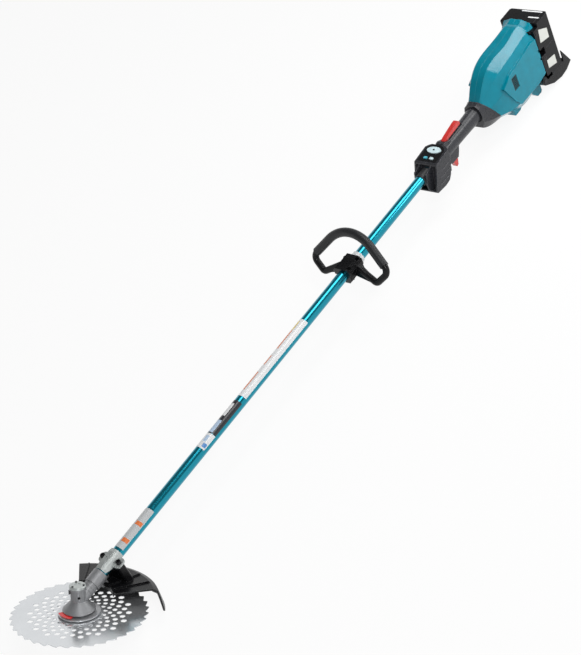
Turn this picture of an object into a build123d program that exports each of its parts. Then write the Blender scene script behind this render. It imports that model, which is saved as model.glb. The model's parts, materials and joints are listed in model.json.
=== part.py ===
"""Cordless brush cutter with a loop handle, two battery packs and a 36-tooth saw blade.

The machine is drawn along its straight shaft: x runs from the cutting head to the
batteries, z is up and y is the user's right. The drawing origin is where the spindle
axis crosses the shaft axis. place() then moves every piece to the resting position,
with the floor at z = 0 and the origin under the middle of the machine's length.
"""
import os
from math import atan, cos, degrees, pi, radians, sin, tan

from build123d import *

# ---------------------------------------------------------------- driving dimensions
# Cutting head, measured along the spindle from the crossing of the two axes
HEAD_TILT = 30.0          # angle between the shaft and the plane of the blade
BLADE_DROP = 24.0         # crossing to the top face of the blade
BLADE_R = 127.5
BLADE_T = 1.6
BLADE_BORE_R = 12.7
TEETH = 36
TOOTH_DEPTH = 6.0
HOLE_RINGS = 6
HOLES_PER_RING = 18
HOLE_RING_IN = 47.5
HOLE_RING_OUT = 91.0
HOLE_R_IN = 4.3
HOLE_R_OUT = 6.0
HOLE_SIDES = 6
HOLE_TWIST = 10.0         # degrees that each ring of holes turns past the last one
WASHER_R = 39.5
WASHER_T = 2.0
WASHER_HUB_R = 21.0
WASHER_HUB_T = 7.0
CLAMP_WASHER_R = 30.0
CLAMP_WASHER_T = 3.0
CUP_R = 43.0
CUP_DEPTH = 12.0
CUP_T = 2.0
CUP_FLAT_R = 20.0
NUT_AF = 17.0
NUT_T = 9.0
SPINDLE_END_R = 5.0
SPINDLE_R = 6.0
SPINDLE_NECK_R = 4.5
SPINDLE_TOP_R = 4.0
SPINDLE_TAIL = 3.0        # plain point left showing below the nut
SPINDLE_POINT_R = 4.0

# Gear case
CASE_R = 14.0
CASE_TOP = 28.0
CASE_WALL = 2.5
CAP_R = 15.5
CAP_T = 5.0
SKIRT_R = 30.5
SKIRT_DROP = 16.0
SKIRT_T = 2.5
ARM_R = 13.0
ARM_CLAMP_R = 15.3
CLAMP_LENGTH = 27.0
CLAMP_REACH = 66.0        # crossing to the mouth of the pipe clamp
CLAMP_SLOT = 2.0
CLAMP_EAR_DROP = 22.5
CLAMP_EAR_LENGTH = 15.0
CLAMP_EAR_T = 6.0
CASE_BOLT_R = 2.5
PINCH_HEAD_R = 4.2
LOWER_BEARING = (14.0, 8.0)    # outer radius and width
UPPER_BEARING = (11.0, 7.0)
PINION_BEARING = (9.5, 6.0)
PINION_SHANK_R = 4.0
LOCK_HOLE_R = 2.6
LOCK_ANGLE = 235.0
PLUG_R = 3.0
PLUG_ANGLE = 140.0

# Bevel gears on axes that meet at 60 degrees
GEAR_MODULE = 1.0
GEAR_TEETH = 19
PINION_TEETH = 14
GEAR_FACE = 5.5
GEAR_ADDENDUM = 0.75
GEAR_DEDENDUM = 1.15
GEAR_BACKLASH = 0.16

# Shaft
PIPE_R = 12.0
PIPE_T = 1.5
DRIVE_R = 3.5
DRIVE_TIP_R = 2.5
DRIVE_TIP_LENGTH = 10.0
BUSH_COUNT = 5
BUSH_LENGTH = 14.0
RUN_FIT = 0.05            # radial running clearance of shafts in bushes and bearings

# Guard and its bracket
AXIS_HEIGHT = 100.0       # shaft axis above the floor
GUARD_R = 150.0
GUARD_IN_R = 63.0
GUARD_T = 3.0
GUARD_TOP = 31.0          # top of the guard above the blade
GUARD_CORNER_R = 12.0
GUARD_FLARE = 7.0         # how far the skirt leans out at its lower edge
GUARD_LEFT_ANGLE = 37.0
GUARD_WING_ANGLE = 47.0
GUARD_RIGHT_ANGLE = 48.0
GUARD_FLAT = 0.5          # depth worn flat where the skirt meets the floor
GUARD_RIB_H = 3.0
GUARD_BLOCK_WIDTH = 50.0
BRACKET_FRONT = 68.0
BRACKET_LENGTH = 48.0
BRACKET_T = 2.6
BRACKET_EAR_REACH = 29.0
BRACKET_EAR_LENGTH = 23.0
BRACKET_EAR_T = 4.0
BRACKET_BOLT_Y = 21.5
BRACKET_BOLT_R = 3.0
BRACKET_SPLIT = -2.0

# Loop handle, drawn in the plane of the loop with its origin on the shaft axis
HANDLE_X = 898.0
LOOP_LEAN = 29.4          # lean of the loop towards the user
LOOP_TOP = 76.5
LOOP_OFFSET = -3.0        # the loop sits slightly to the user's left of the tube
LOOP_CROWN_R = 80.0
LOOP_SLOPE = 44.0         # slope of the straight sides
LOOP_SIDE = 48.0
LOOP_CORNER_R = 15.0
LOOP_CORNER_TURN = 93.0
LOOP_FOOT = 20.0
LOOP_HEEL_R = 9.0
LOOP_HEEL_TURN = 69.0
LOOP_ARM = 42.0
LOOP_CORE_R = 7.3
LOOP_GRIP_R = 9.7
HUB_LENGTH = 46.0
HUB_HALF_WIDTH = 24.0
HUB_TOP = 18.0
HUB_CAP_DROP = 20.0
HUB_CAP_HALF_WIDTH = 20.0
HUB_GAP = 0.6
HUB_BOLT_R = 2.5
HUB_BOLT_Y = 16.2
HUB_BOLT_SPREAD = 15.0
SPACER_LENGTH = 13.0
SPACER_T = 2.2

# Control box and grip
BOX_X = 1178.0            # crossing to the lower front edge of the control box
BOX_HALF_WIDTH = 30.0
BOX_WALL = 2.6
BOX_TOP = 22.0
BOX_BOTTOM = -40.0
BOX_RAKE = 28.0
BOX_TOP_LENGTH = 61.0
BOX_TOP_RISE = 4.0
BOX_EDGE_R = 3.0
MOUTH_HALF_WIDTH = 25.5
CHEEK_T = 2.8
BOOT_T = 2.0
BOOT_REACH = 5.0
PANEL_T = 2.0
BUTTON_GAP = 0.4
POWER_BUTTON = (15.0, 11.8)    # half length and half width of the oval
SMALL_BUTTON = (9.0, 6.0)
BUTTON_TRAVEL = 1.2
BUTTON_STEM = 1.3
GRIP_START = 1249.0
GRIP_END = 1398.0
GRIP_HALF_WIDTH = 15.5
GRIP_HALF_HEIGHT = 17.5
GRIP_REAR_GROWTH = 1.16
TRIGGER_X = 1284.0
TRIGGER_HINGE_DROP = 27.0
TRIGGER_WIDTH = 11.0
TRIGGER_BLOCK_WIDTH = 21.0
TRIGGER_BLOCK_DROP = 34.0
TRIGGER_DROP = 55.0
SIDE_GAP = 0.6
LEVER_X = 1281.0
LEVER_LENGTH = 60.0
LEVER_WIDTH = 10.6
LEVER_REST = 19.8
LEVER_TOP = 32.5
PIN_R = 1.5

# Motor housing: stations along the shaft, each with the half section's corners
COLLAR_X = 1394.0
JOINT_X = 1421.0          # where the slanting joint between collar and housing cuts the axis
JOINT_LEAN = 27.5
HOUSING_WALL = 3.0
SCREW_R = 3.6
SCREW_DEPTH = 2.6
HOUSING_REAR = 1607.0
HOOD_LENGTH = 16.0
SIDE_PANEL_RISE = 2.5
VENT = (1492.0, 1512.0, -6.0, 28.0)
REAR_FOOT = (1586.0, 1606.0)
FRONT_FOOT = (1497.0, 1517.0)
FRONT_FOOT_Z = -83.0
FOOT_HALF_WIDTH = 22.0

# Motor
MOTOR_X = 1484.0
STATOR_R = 33.0
STATOR_LENGTH = 34.0
ROTOR_R = 18.0
AIR_GAP = 0.5
MOTOR_SHAFT_R = 5.0
FAN_R = 31.0
FAN_T = 12.0
FAN_BLADES = 11
MOUNT_T = 5.0

# Battery packs
PACK_LENGTH = 98.0        # along y
PACK_WIDTH = 70.0         # along z
PACK_DEPTH = 67.0         # along x
PACK_GAP = 0.8
PACK_TOP = 76.0
PACK_EDGE_CHAMFER = 3.0
PACK_END_CHAMFER = 7.0
RAIL_DEPTH = 5.0
RAIL_SPREAD = 21.0
RAIL_NECK = 4.0
RAIL_LIP = 3.0
RAIL_GAP = 0.4
LATCH_TRAVEL = 3.0
LATCH_WIDTH = 12.0
LATCH_HEIGHT = 11.0
LATCH_DEPTH = 6.0
LATCH_GAP = 0.5
PACK_NOTCH = 9.0
NOSE_DEPTH = 18.0
NOSE_END = 29.0

# Bumper under the packs
BUMPER_HALF_WIDTH = 48.0
BUMPER_T = 3.0
BUMPER_REACH = 1702.0

# ---------------------------------------------------------------- worked-out values
TILT = radians(HEAD_TILT)
MACHINE_FRONT = -((BLADE_DROP + BLADE_T) * sin(TILT) + BLADE_R * cos(TILT))
MID_X = (MACHINE_FRONT + BUMPER_REACH) / 2
FLOOR = -AXIS_HEIGHT
BLADE_TOP = -BLADE_DROP
BLADE_BOTTOM = BLADE_TOP - BLADE_T
CLAMP_START = CLAMP_REACH - CLAMP_LENGTH
PIPE_START = CLAMP_START + CASE_WALL
LOCK_Z = CASE_TOP - 16.0
PLUG_Z = CASE_TOP - 9.0
PIPE_END = JOINT_X + 12.0
PIPE_BORE_R = PIPE_R - PIPE_T
PACK_FRONT = HOUSING_REAR + 2.0
PACK_REAR = PACK_FRONT + PACK_DEPTH
PACK_CENTRES = (PACK_TOP - PACK_WIDTH / 2, PACK_TOP - PACK_WIDTH * 1.5 - PACK_GAP)
EPS = 0.01


# ---------------------------------------------------------------- helpers
def place(shape):
    """Move a piece from the shaft drawing to the resting position."""
    return Pos(-MID_X, 0, AXIS_HEIGHT) * shape


def tilt(shape):
    """Turn a piece drawn about the spindle, z up the spindle, into the shaft drawing."""
    return Rot(0, HEAD_TILT, 0) * shape


def rod(radius, start, end, y=0.0, z=0.0):
    """Cylinder along the shaft."""
    body = Cylinder(radius, end - start, align=(Align.CENTER, Align.CENTER, Align.MIN))
    return Pos(start, y, z) * Rot(0, 90, 0) * body


def disc(radius, bottom, top, x=0.0, y=0.0):
    """Cylinder along z."""
    body = Cylinder(radius, top - bottom, align=(Align.CENTER, Align.CENTER, Align.MIN))
    return Pos(x, y, bottom) * body


def pin_y(radius, x, z, half_length):
    """Cylinder across the machine."""
    return Pos(x, 0, z) * Rot(90, 0, 0) * Cylinder(radius, 2 * half_length)


def block(x0, x1, y0, y1, z0, z1):
    """Box between the given faces."""
    body = Box(x1 - x0, y1 - y0, z1 - z0)
    return Pos((x0 + x1) / 2, (y0 + y1) / 2, (z0 + z1) / 2) * body


def side_face(points):
    """Face in the xz plane."""
    return make_face(Plane.XZ * Polyline(points, close=True))


def spun(points):
    """Body of revolution about z from (radius, z) corners."""
    return revolve(side_face(points), Axis.Z)


def slab(points, y0, y1):
    """Side profile in x and z, carried across the machine from y0 to y1."""
    face = side_face(points)
    return Pos(0, y1, 0) * extrude(face, amount=y1 - y0, dir=(0, -1, 0))


def group(*items):
    """Several separate solids in one node."""
    return Compound([solid for item in items for solid in item.solids()])


def polar(radius, angle):
    """Point on a circle, angle in degrees."""
    return (radius * cos(radians(angle)), radius * sin(radians(angle)))


# ---------------------------------------------------------------- blade and its clamping
def blade_outline():
    """Hooked saw teeth: a leaning front face, a round gullet and a long straight back."""
    pitch = 360.0 / TEETH
    root = BLADE_R - TOOTH_DEPTH
    edges = []
    for k in range(TEETH):
        start = k * pitch
        tip = polar(BLADE_R, start)
        land = polar(BLADE_R - 0.6, start - 0.16 * pitch)
        foot = polar(root + 1.2, start + 0.12 * pitch)
        dip = polar(root, start + 0.27 * pitch)
        rise = polar(root + 1.6, start + 0.42 * pitch)
        next_land = polar(BLADE_R - 0.6, start + 0.84 * pitch)
        edges.append(Line(land, tip))
        edges.append(Line(tip, foot))
        edges.append(ThreePointArc(foot, dip, rise))
        edges.append(Line(rise, next_land))
    return make_face(Curve() + edges)


def blade():
    """Disc with hooked teeth and rings of mud-shedding holes."""
    plate = extrude(blade_outline(), amount=BLADE_T)
    cutters = [disc(BLADE_BORE_R, -1, BLADE_T + 1)]
    for ring in range(HOLE_RINGS):
        share = ring / (HOLE_RINGS - 1)
        radius = HOLE_RING_IN + share * (HOLE_RING_OUT - HOLE_RING_IN)
        hole = HOLE_R_IN + share * (HOLE_R_OUT - HOLE_R_IN)
        for k in range(HOLES_PER_RING):
            x, y = polar(radius, ring * HOLE_TWIST + k * 360.0 / HOLES_PER_RING)
            cutters.append(Pos(x, y, -1) * extrude(RegularPolygon(hole, HOLE_SIDES), BLADE_T + 2))
    return tilt(Pos(0, 0, BLADE_BOTTOM) * (plate - cutters))


def receiver_washer():
    """Dished plate above the blade, with the spigot that centres the blade."""
    hub_top = BLADE_TOP + WASHER_HUB_T
    rim_top = BLADE_TOP + 4.2
    body = spun([
        (SPINDLE_END_R, BLADE_BOTTOM + 0.3),
        (BLADE_BORE_R, BLADE_BOTTOM + 0.3),
        (BLADE_BORE_R, BLADE_TOP),
        (WASHER_HUB_R, BLADE_TOP),
        (WASHER_R - 1.5, rim_top - WASHER_T),
        (WASHER_R, rim_top - WASHER_T),
        (WASHER_R, rim_top),
        (WASHER_HUB_R, BLADE_TOP + WASHER_T),
        (WASHER_HUB_R - 3, hub_top),
        (SPINDLE_END_R, hub_top),
    ])
    return tilt(body)


def clamp_washer():
    """Flat washer that presses the blade up."""
    top = BLADE_BOTTOM
    body = spun([
        (SPINDLE_END_R, top - CLAMP_WASHER_T),
        (CLAMP_WASHER_R - 1, top - CLAMP_WASHER_T),
        (CLAMP_WASHER_R, top - CLAMP_WASHER_T + 1),
        (CLAMP_WASHER_R, top),
        (BLADE_BORE_R + 0.3, top),
        (BLADE_BORE_R + 0.3, top - 0.6),
        (SPINDLE_END_R, top - 0.6),
    ])
    return tilt(body)


def ground_cup():
    """Pressed cup that slides on the ground under the nut."""
    top = BLADE_BOTTOM - CLAMP_WASHER_T
    low = top - CUP_DEPTH
    shift = CUP_T
    body = spun([
        (SPINDLE_END_R, top - shift),
        (CUP_FLAT_R, top - shift),
        (CUP_FLAT_R + 5, low),
        (CUP_R - 8, low),
        (CUP_R, low + 6),
        (CUP_R, low + 6 + shift),
        (CUP_R - 9, low + shift),
        (CUP_FLAT_R + 7, low + shift),
        (CUP_FLAT_R + 2, top),
        (SPINDLE_END_R, top),
    ])
    return tilt(body)


def blade_nut():
    """Left-hand hexagon nut with a flange."""
    top = BLADE_BOTTOM - CLAMP_WASHER_T - CUP_T
    hexagon = RegularPolygon(NUT_AF / 2, 6, major_radius=False)
    body = Pos(0, 0, top - NUT_T) * extrude(hexagon, amount=NUT_T - 2)
    body += disc(NUT_AF / 2 + 2.5, top - 2, top)
    body -= disc(SPINDLE_END_R, top - NUT_T - 1, top + 1)
    return tilt(body)


def gear_cone_angles():
    """Pitch cone half-angles of pinion and gear for the angle between the axes."""
    shafts = radians(90.0 - HEAD_TILT)
    pinion = atan(sin(shafts) / (GEAR_TEETH / PINION_TEETH + cos(shafts)))
    return pinion, shafts - pinion


def bevel_tooth(cone, distance, share):
    """Tooth section square to the pitch line, at a share of the outer cone distance."""
    half = (pi * GEAR_MODULE / 4 - GEAR_BACKLASH) * share
    lean = tan(radians(20.0))
    tip = GEAR_ADDENDUM * share
    root = (GEAR_DEDENDUM + 0.3) * share
    where = Plane(
        origin=(distance * sin(cone), 0, distance * cos(cone)),
        x_dir=(0, 1, 0),
        z_dir=(sin(cone), 0, cos(cone)),
    )
    corners = [
        (-(half + root * lean), root),
        (half + root * lean, root),
        (half - tip * lean, -tip),
        (-(half - tip * lean), -tip),
    ]
    side = 1 if (where.y_dir.X * cos(cone)) < 0 else -1
    points = [(a, b * side) for a, b in corners]
    return make_face(where * Polyline(points, close=True))


def bevel_wheel(teeth, cone, bore, hub_r, hub_top):
    """Straight bevel gear, apex at the origin, z along its axis."""
    outer = GEAR_MODULE * teeth / (2 * sin(cone))
    inner = outer - GEAR_FACE
    back = outer * cos(cone) + GEAR_DEDENDUM * sin(cone)
    root_in = (inner * sin(cone) - GEAR_DEDENDUM * cos(cone) * inner / outer)
    root_out = (outer * sin(cone) - GEAR_DEDENDUM * cos(cone))
    z_in = inner * cos(cone) + GEAR_DEDENDUM * sin(cone) * inner / outer
    blank = spun([
        (bore, z_in), (root_in, z_in), (root_out, back), (root_out, back + 0.8),
        (hub_r, back + 0.8), (hub_r, hub_top), (bore, hub_top),
    ])
    share = inner / outer
    tooth = loft([bevel_tooth(cone, inner, share), bevel_tooth(cone, outer, 1.0)])
    for k in range(teeth):
        blank += Rot(0, 0, k * 360.0 / teeth) * tooth
    return blank


def bevel_gear():
    """Larger bevel gear, pressed on the spindle above the pinion."""
    cone = gear_cone_angles()[1]
    top = CASE_TOP - UPPER_BEARING[1] - 1.5
    return tilt(bevel_wheel(GEAR_TEETH, cone, SPINDLE_NECK_R, SPINDLE_NECK_R + 2.2, top))


def bevel_pinion():
    """Smaller bevel gear with the hollow shank that takes the end of the drive shaft."""
    cone = gear_cone_angles()[0]
    shank_end = pinion_bearing_starts()[1] + PINION_BEARING[1] + 3.0
    wheel = bevel_wheel(PINION_TEETH, cone, 1.0, PINION_SHANK_R, shank_end)
    wheel += disc(1.0 + EPS, gear_inner_face(), shank_end)
    wheel -= disc(DRIVE_TIP_R, shank_end - DRIVE_TIP_LENGTH, shank_end + 1)
    half_pitch = 180.0 / PINION_TEETH
    return Rot(0, 90, 0) * Rot(0, 0, half_pitch) * wheel


def gear_inner_face():
    """Distance from the crossing to the small end of the pinion."""
    cone = gear_cone_angles()[0]
    outer = GEAR_MODULE * PINION_TEETH / (2 * sin(cone))
    inner = outer - GEAR_FACE
    return inner * cos(cone) + GEAR_DEDENDUM * sin(cone) * inner / outer


def pinion_bearing_starts():
    """Stations of the two pinion bearings along the shaft."""
    cone = gear_cone_angles()[0]
    outer = GEAR_MODULE * PINION_TEETH / (2 * sin(cone))
    first = outer * cos(cone) + GEAR_DEDENDUM * sin(cone) + 1.6
    return first, first + PINION_BEARING[1] + 2.0


def spindle():
    """Stepped spindle with a threaded lower end."""
    nut_bottom = BLADE_BOTTOM - CLAMP_WASHER_T - CUP_T - NUT_T
    seat = BLADE_TOP + WASHER_HUB_T
    low_bearing_top = lower_bearing_bottom() + LOWER_BEARING[1]
    body = disc(SPINDLE_POINT_R, nut_bottom - SPINDLE_TAIL, nut_bottom)
    body += disc(SPINDLE_END_R, nut_bottom, seat)
    body += disc(SPINDLE_R, seat, low_bearing_top)
    body += disc(SPINDLE_NECK_R, low_bearing_top, CASE_TOP - UPPER_BEARING[1] - 1.5)
    body += disc(SPINDLE_TOP_R, CASE_TOP - UPPER_BEARING[1] - 1.5, CASE_TOP - 0.5)
    return tilt(body)


def lower_bearing_bottom():
    """Underside of the lower spindle bearing."""
    return -SKIRT_DROP + 1.5


def bearing(size, bore, bottom):
    """Ball bearing drawn as its two rings and the shielded space between them."""
    outer, width = size
    inner_ring = bore + (outer - bore) * 0.3
    outer_ring = outer - (outer - bore) * 0.25
    return spun([
        (bore, bottom), (inner_ring, bottom), (inner_ring, bottom + 0.4),
        (outer_ring, bottom + 0.4), (outer_ring, bottom), (outer, bottom),
        (outer, bottom + width), (outer_ring, bottom + width),
        (outer_ring, bottom + width - 0.4), (inner_ring, bottom + width - 0.4),
        (inner_ring, bottom + width), (bore, bottom + width),
    ])


def spindle_bearings():
    """Two bearings that carry the spindle."""
    lower = bearing(LOWER_BEARING, SPINDLE_R + RUN_FIT, lower_bearing_bottom())
    upper = bearing(UPPER_BEARING, SPINDLE_TOP_R + RUN_FIT, CASE_TOP - UPPER_BEARING[1] - 0.5)
    return tilt(group(lower, upper))


def pinion_bearings():
    """Two bearings that carry the pinion in the arm of the case."""
    first, second = pinion_bearing_starts()
    bore = PINION_SHANK_R + RUN_FIT
    rings = group(bearing(PINION_BEARING, bore, first), bearing(PINION_BEARING, bore, second))
    return Rot(0, 90, 0) * rings


# ---------------------------------------------------------------- gear case
def gear_case():
    """Cast case: spindle barrel, dust skirt over the blade washer, arm and pipe clamp."""
    barrel = disc(CASE_R, -2, CASE_TOP)
    barrel += disc(CASE_R + 1.2, CASE_TOP - 4, CASE_TOP)
    skirt = spun([
        (0, -SKIRT_DROP + 1.5), (LOWER_BEARING[0] + CASE_WALL, -SKIRT_DROP + 1.5),
        (LOWER_BEARING[0] + CASE_WALL, -SKIRT_DROP * 0.62),
        (SKIRT_R - SKIRT_T, -SKIRT_DROP), (SKIRT_R, -SKIRT_DROP),
        (SKIRT_R, -SKIRT_DROP + 1.5), (CASE_R, 2.0), (0, 2.0),
    ])
    case = tilt(barrel + skirt)
    arm = rod(ARM_R, 6, CLAMP_START + 2)
    arm += rod(ARM_CLAMP_R, CLAMP_START, CLAMP_REACH)
    for station in (CLAMP_START - 8, CLAMP_START - 16):
        arm += rod(ARM_R + 0.9, station, station + 2.5)
    ear_start = CLAMP_REACH - CLAMP_EAR_LENGTH
    for side in (-1, 1):
        y_in = side * CLAMP_SLOT / 2
        y_out = side * (CLAMP_SLOT / 2 + CLAMP_EAR_T)
        low, high = min(y_in, y_out), max(y_in, y_out)
        ear = block(ear_start, CLAMP_REACH, low, high, -CLAMP_EAR_DROP, -PIPE_R - 1)
        arm += fillet(ear.edges().filter_by(Axis.Y).group_by(Axis.Z)[0], 3.0)
    case += arm
    first, second = pinion_bearing_starts()
    hollow = tilt(disc(CASE_R - CASE_WALL, lower_bearing_bottom() + LOWER_BEARING[1], CASE_TOP + 1))
    hollow += tilt(disc(LOWER_BEARING[0], -SKIRT_DROP, lower_bearing_bottom() + LOWER_BEARING[1]))
    hollow += rod(PINION_BEARING[0] - 0.6, gear_inner_face() - 2, first)
    hollow += rod(PINION_BEARING[0], first, second + PINION_BEARING[1])
    hollow += rod(PINION_BEARING[0] - 1, second + PINION_BEARING[1], PIPE_START)
    hollow += rod(PIPE_R, PIPE_START, CLAMP_REACH + 1)
    slot = block(CLAMP_START + 8, CLAMP_REACH + 1, -CLAMP_SLOT / 2, CLAMP_SLOT / 2,
                 -CLAMP_EAR_DROP - 1, 0)
    bolt_x = CLAMP_REACH - CLAMP_EAR_LENGTH / 2
    pinch_hole = pin_y(CASE_BOLT_R, bolt_x, pinch_bolt_z(), 12)
    lock = Pos(0, 0, LOCK_Z) * Rot(0, 0, LOCK_ANGLE) * Rot(0, 90, 0) * disc(LOCK_HOLE_R, 4, 20)
    plug = Pos(0, 0, PLUG_Z) * Rot(0, 0, PLUG_ANGLE) * Rot(0, 90, 0) * disc(PLUG_R, 4, 20)
    return case - hollow - slot - pinch_hole - tilt(lock) - tilt(plug)


def pinch_bolt_z():
    """Height of the pinch bolt below the shaft axis."""
    return -(PIPE_R + 1 + CLAMP_EAR_DROP) / 2 - 1.2


def case_cap():
    """Cover over the upper bearing, held by three screws."""
    cap = disc(CAP_R, CASE_TOP, CASE_TOP + CAP_T)
    cap = chamfer(cap.edges().group_by(Axis.Z)[-1], 1.6)
    cap -= disc(CAP_R * 0.42, CASE_TOP + CAP_T - 0.8, CASE_TOP + CAP_T + 1)
    return tilt(cap)


def case_bolts():
    """Pinch bolt with its washer, grease plug and the three screws of the cap."""
    bolt_x = CLAMP_REACH - CLAMP_EAR_LENGTH / 2
    reach = CLAMP_SLOT / 2 + CLAMP_EAR_T
    shank = pin_y(CASE_BOLT_R - 0.02, bolt_x, pinch_bolt_z(), reach)
    head = Pos(bolt_x, -reach - 2.0, pinch_bolt_z()) * Rot(90, 0, 0) * Cylinder(PINCH_HEAD_R, 4.0)
    socket = Pos(bolt_x, -reach - 4.0, pinch_bolt_z()) * Rot(90, 0, 0)
    socket = socket * extrude(RegularPolygon(2.0, 6), amount=1.6, both=True)
    plug = disc(PLUG_R - 0.05, 11.8, CASE_R + 1.3) + disc(PLUG_R + 1.4, CASE_R + 1.3, CASE_R + 3.0)
    plug = Pos(0, 0, PLUG_Z) * Rot(0, 0, PLUG_ANGLE) * Rot(0, 90, 0) * plug
    screws = []
    for k in range(3):
        x, y = polar(CAP_R - 3.6, 60 + k * 120)
        head_z = CASE_TOP + CAP_T
        screws.append(disc(2.0, head_z, head_z + 1.4, x, y))
    return group(shank + head - socket, tilt(group(plug, *screws)))


# ---------------------------------------------------------------- shaft
def main_pipe():
    """Straight drawn tube from the gear case to the motor housing."""
    return rod(PIPE_R, PIPE_START, PIPE_END) - rod(PIPE_BORE_R, PIPE_START - 1, PIPE_END + 1)


def drive_shaft():
    """Steel rod from the motor coupling to the pinion, with a turned-down front end."""
    shank_end = pinion_bearing_starts()[1] + PINION_BEARING[1] + 3.0
    tip = rod(DRIVE_TIP_R, shank_end - DRIVE_TIP_LENGTH, shank_end)
    return tip + rod(DRIVE_R, shank_end, coupling_start() + 14.0)


def shaft_bushes():
    """Bushes that keep the drive shaft in the middle of the pipe."""
    spacing = (BOX_X - PIPE_START) / BUSH_COUNT
    items = []
    for k in range(BUSH_COUNT):
        start = PIPE_START + spacing * (k + 0.6)
        bush = rod(PIPE_BORE_R, start, start + BUSH_LENGTH)
        items.append(bush - rod(DRIVE_R + RUN_FIT, start - 1, start + BUSH_LENGTH + 1))
    return group(*items)


# ---------------------------------------------------------------- guard
def guard_sector(start, end, points):
    """Part of a body of revolution about the spindle between two angles."""
    sector = revolve(side_face(points), Axis.Z, revolution_arc=end - start)
    return Rot(0, 0, start) * sector


def guard_shell():
    """Moulded guard: top plate, rounded shoulder, skirt, ribs and the block under the pipe."""
    top = BLADE_TOP + GUARD_TOP
    under = top - GUARD_T
    inner = GUARD_R - GUARD_T
    bottom = (FLOOR + (GUARD_R + GUARD_FLARE) * sin(TILT)) / cos(TILT) - GUARD_FLAT
    corner = GUARD_CORNER_R
    shell = guard_sector(-GUARD_LEFT_ANGLE, GUARD_RIGHT_ANGLE, [
        (GUARD_IN_R, under - 3), (GUARD_IN_R + 2, under - 3), (GUARD_IN_R + 2, under),
        (inner - corner, under), (inner - corner * 0.29, under - corner * 0.29),
        (inner, under - corner), (inner + GUARD_FLARE, bottom), (GUARD_R + GUARD_FLARE, bottom),
        (GUARD_R, top - corner), (GUARD_R - corner * 0.29, top - corner * 0.29),
        (GUARD_R - corner, top), (GUARD_IN_R, top),
    ])
    wing = guard_sector(-GUARD_WING_ANGLE, -GUARD_LEFT_ANGLE + 0.1, [
        (inner + GUARD_FLARE, bottom), (GUARD_R + GUARD_FLARE, bottom), (GUARD_R, top - corner),
        (GUARD_R - corner * 0.29, top - corner * 0.29), (GUARD_R - corner, top),
        (inner - corner, under), (inner - corner * 0.29, under - corner * 0.29),
        (inner, under - corner),
    ])
    slope = Rot(0, 0, -GUARD_LEFT_ANGLE) * Pos(GUARD_R - 10, 0, top) * Rot(48, 0, 0)
    shell += wing - slope * Box(60, 120, 60, align=(Align.CENTER, Align.MAX, Align.MIN))
    for angle in (-24, -8, 8, 24, 40):
        rib = block(GUARD_IN_R, GUARD_R - corner, -1.3, 1.3, top - 1, top + GUARD_RIB_H)
        shell += Rot(0, 0, angle) * chamfer(rib.edges().group_by(Axis.X)[-1].sort_by(Axis.Z)[-1], 2.4)
    rim = guard_sector(-GUARD_LEFT_ANGLE, GUARD_RIGHT_ANGLE, [
        (GUARD_IN_R, top - 1), (GUARD_IN_R + 2.4, top - 1),
        (GUARD_IN_R + 2.4, top + GUARD_RIB_H), (GUARD_IN_R, top + GUARD_RIB_H),
    ])
    shell = tilt(shell + rim)
    shell += guard_block(top)
    shell -= block(0, 400, -300, 300, FLOOR - 50, FLOOR)
    shell -= pin_y(PINCH_HEAD_R + 2, CLAMP_REACH - CLAMP_EAR_LENGTH / 2, pinch_bolt_z(), 20)
    bolt_x = bracket_bolt_x()
    for side in (-1, 1):
        shell -= disc(BRACKET_BOLT_R, BRACKET_SPLIT - 20, 1, bolt_x, side * BRACKET_BOLT_Y)
    return shell


def guard_block(plate_top):
    """Hollow block that rises from the guard's plate to the underside of the pipe."""
    half = GUARD_BLOCK_WIDTH / 2 + 1
    start, end = bracket_ear_span()
    end -= 5
    body = block(start, end, -half, half, -80, BRACKET_SPLIT - 0.3)
    body = fillet(body.edges().filter_by(Axis.Z), 4.0)
    body -= block(start + 4, end - 4, -half + 4, -11, -80, BRACKET_SPLIT - 12)
    body -= block(start + 4, end - 4, 11, half - 4, -80, BRACKET_SPLIT - 12)
    body -= tilt(block(-100, 300, -100, 100, -200, plate_top - 1))
    return body - rod(PIPE_R, start - 1, end + 1)


def bracket_ear_span():
    """Stations of the bracket's bolt ears."""
    end = BRACKET_FRONT + BRACKET_LENGTH - 6
    return end - BRACKET_EAR_LENGTH, end


def bracket_bolt_x():
    """Station of the bracket bolts."""
    start, end = bracket_ear_span()
    return (start + end) / 2


def guard_bracket():
    """Aluminium saddle over the pipe with one bolt ear on each side."""
    end = BRACKET_FRONT + BRACKET_LENGTH
    saddle = rod(PIPE_R + BRACKET_T, BRACKET_FRONT, end)
    start, stop = bracket_ear_span()
    crest = slab([
        (BRACKET_FRONT, PIPE_R - 2), (BRACKET_FRONT, PIPE_R + BRACKET_T - 0.4),
        (BRACKET_FRONT + 10, PIPE_R + BRACKET_T + 1.6), (end - 8, PIPE_R + BRACKET_T + 1.6),
        (end, PIPE_R + BRACKET_T - 0.4), (end, PIPE_R - 2),
    ], -6.0, 6.0)
    saddle += crest
    ears = block(start, stop, -BRACKET_EAR_REACH, BRACKET_EAR_REACH,
                 BRACKET_SPLIT, BRACKET_SPLIT + BRACKET_EAR_T)
    ears = fillet(ears.edges().filter_by(Axis.Z), 8.0)
    keep = slab([
        (BRACKET_FRONT - 1, 5), (start, BRACKET_SPLIT), (end + 1, BRACKET_SPLIT),
        (end + 1, 40), (BRACKET_FRONT - 1, 40),
    ], -40, 40)
    body = (saddle & keep) + ears - rod(PIPE_R, BRACKET_FRONT - 1, end + 1)
    for side in (-1, 1):
        body -= disc(BRACKET_BOLT_R, BRACKET_SPLIT - 1, 20, bracket_bolt_x(), side * BRACKET_BOLT_Y)
    for offset in (22.0, 14.0):
        body -= disc(1.9, PIPE_R + 1.2, 30, end - offset)
    return body


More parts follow.
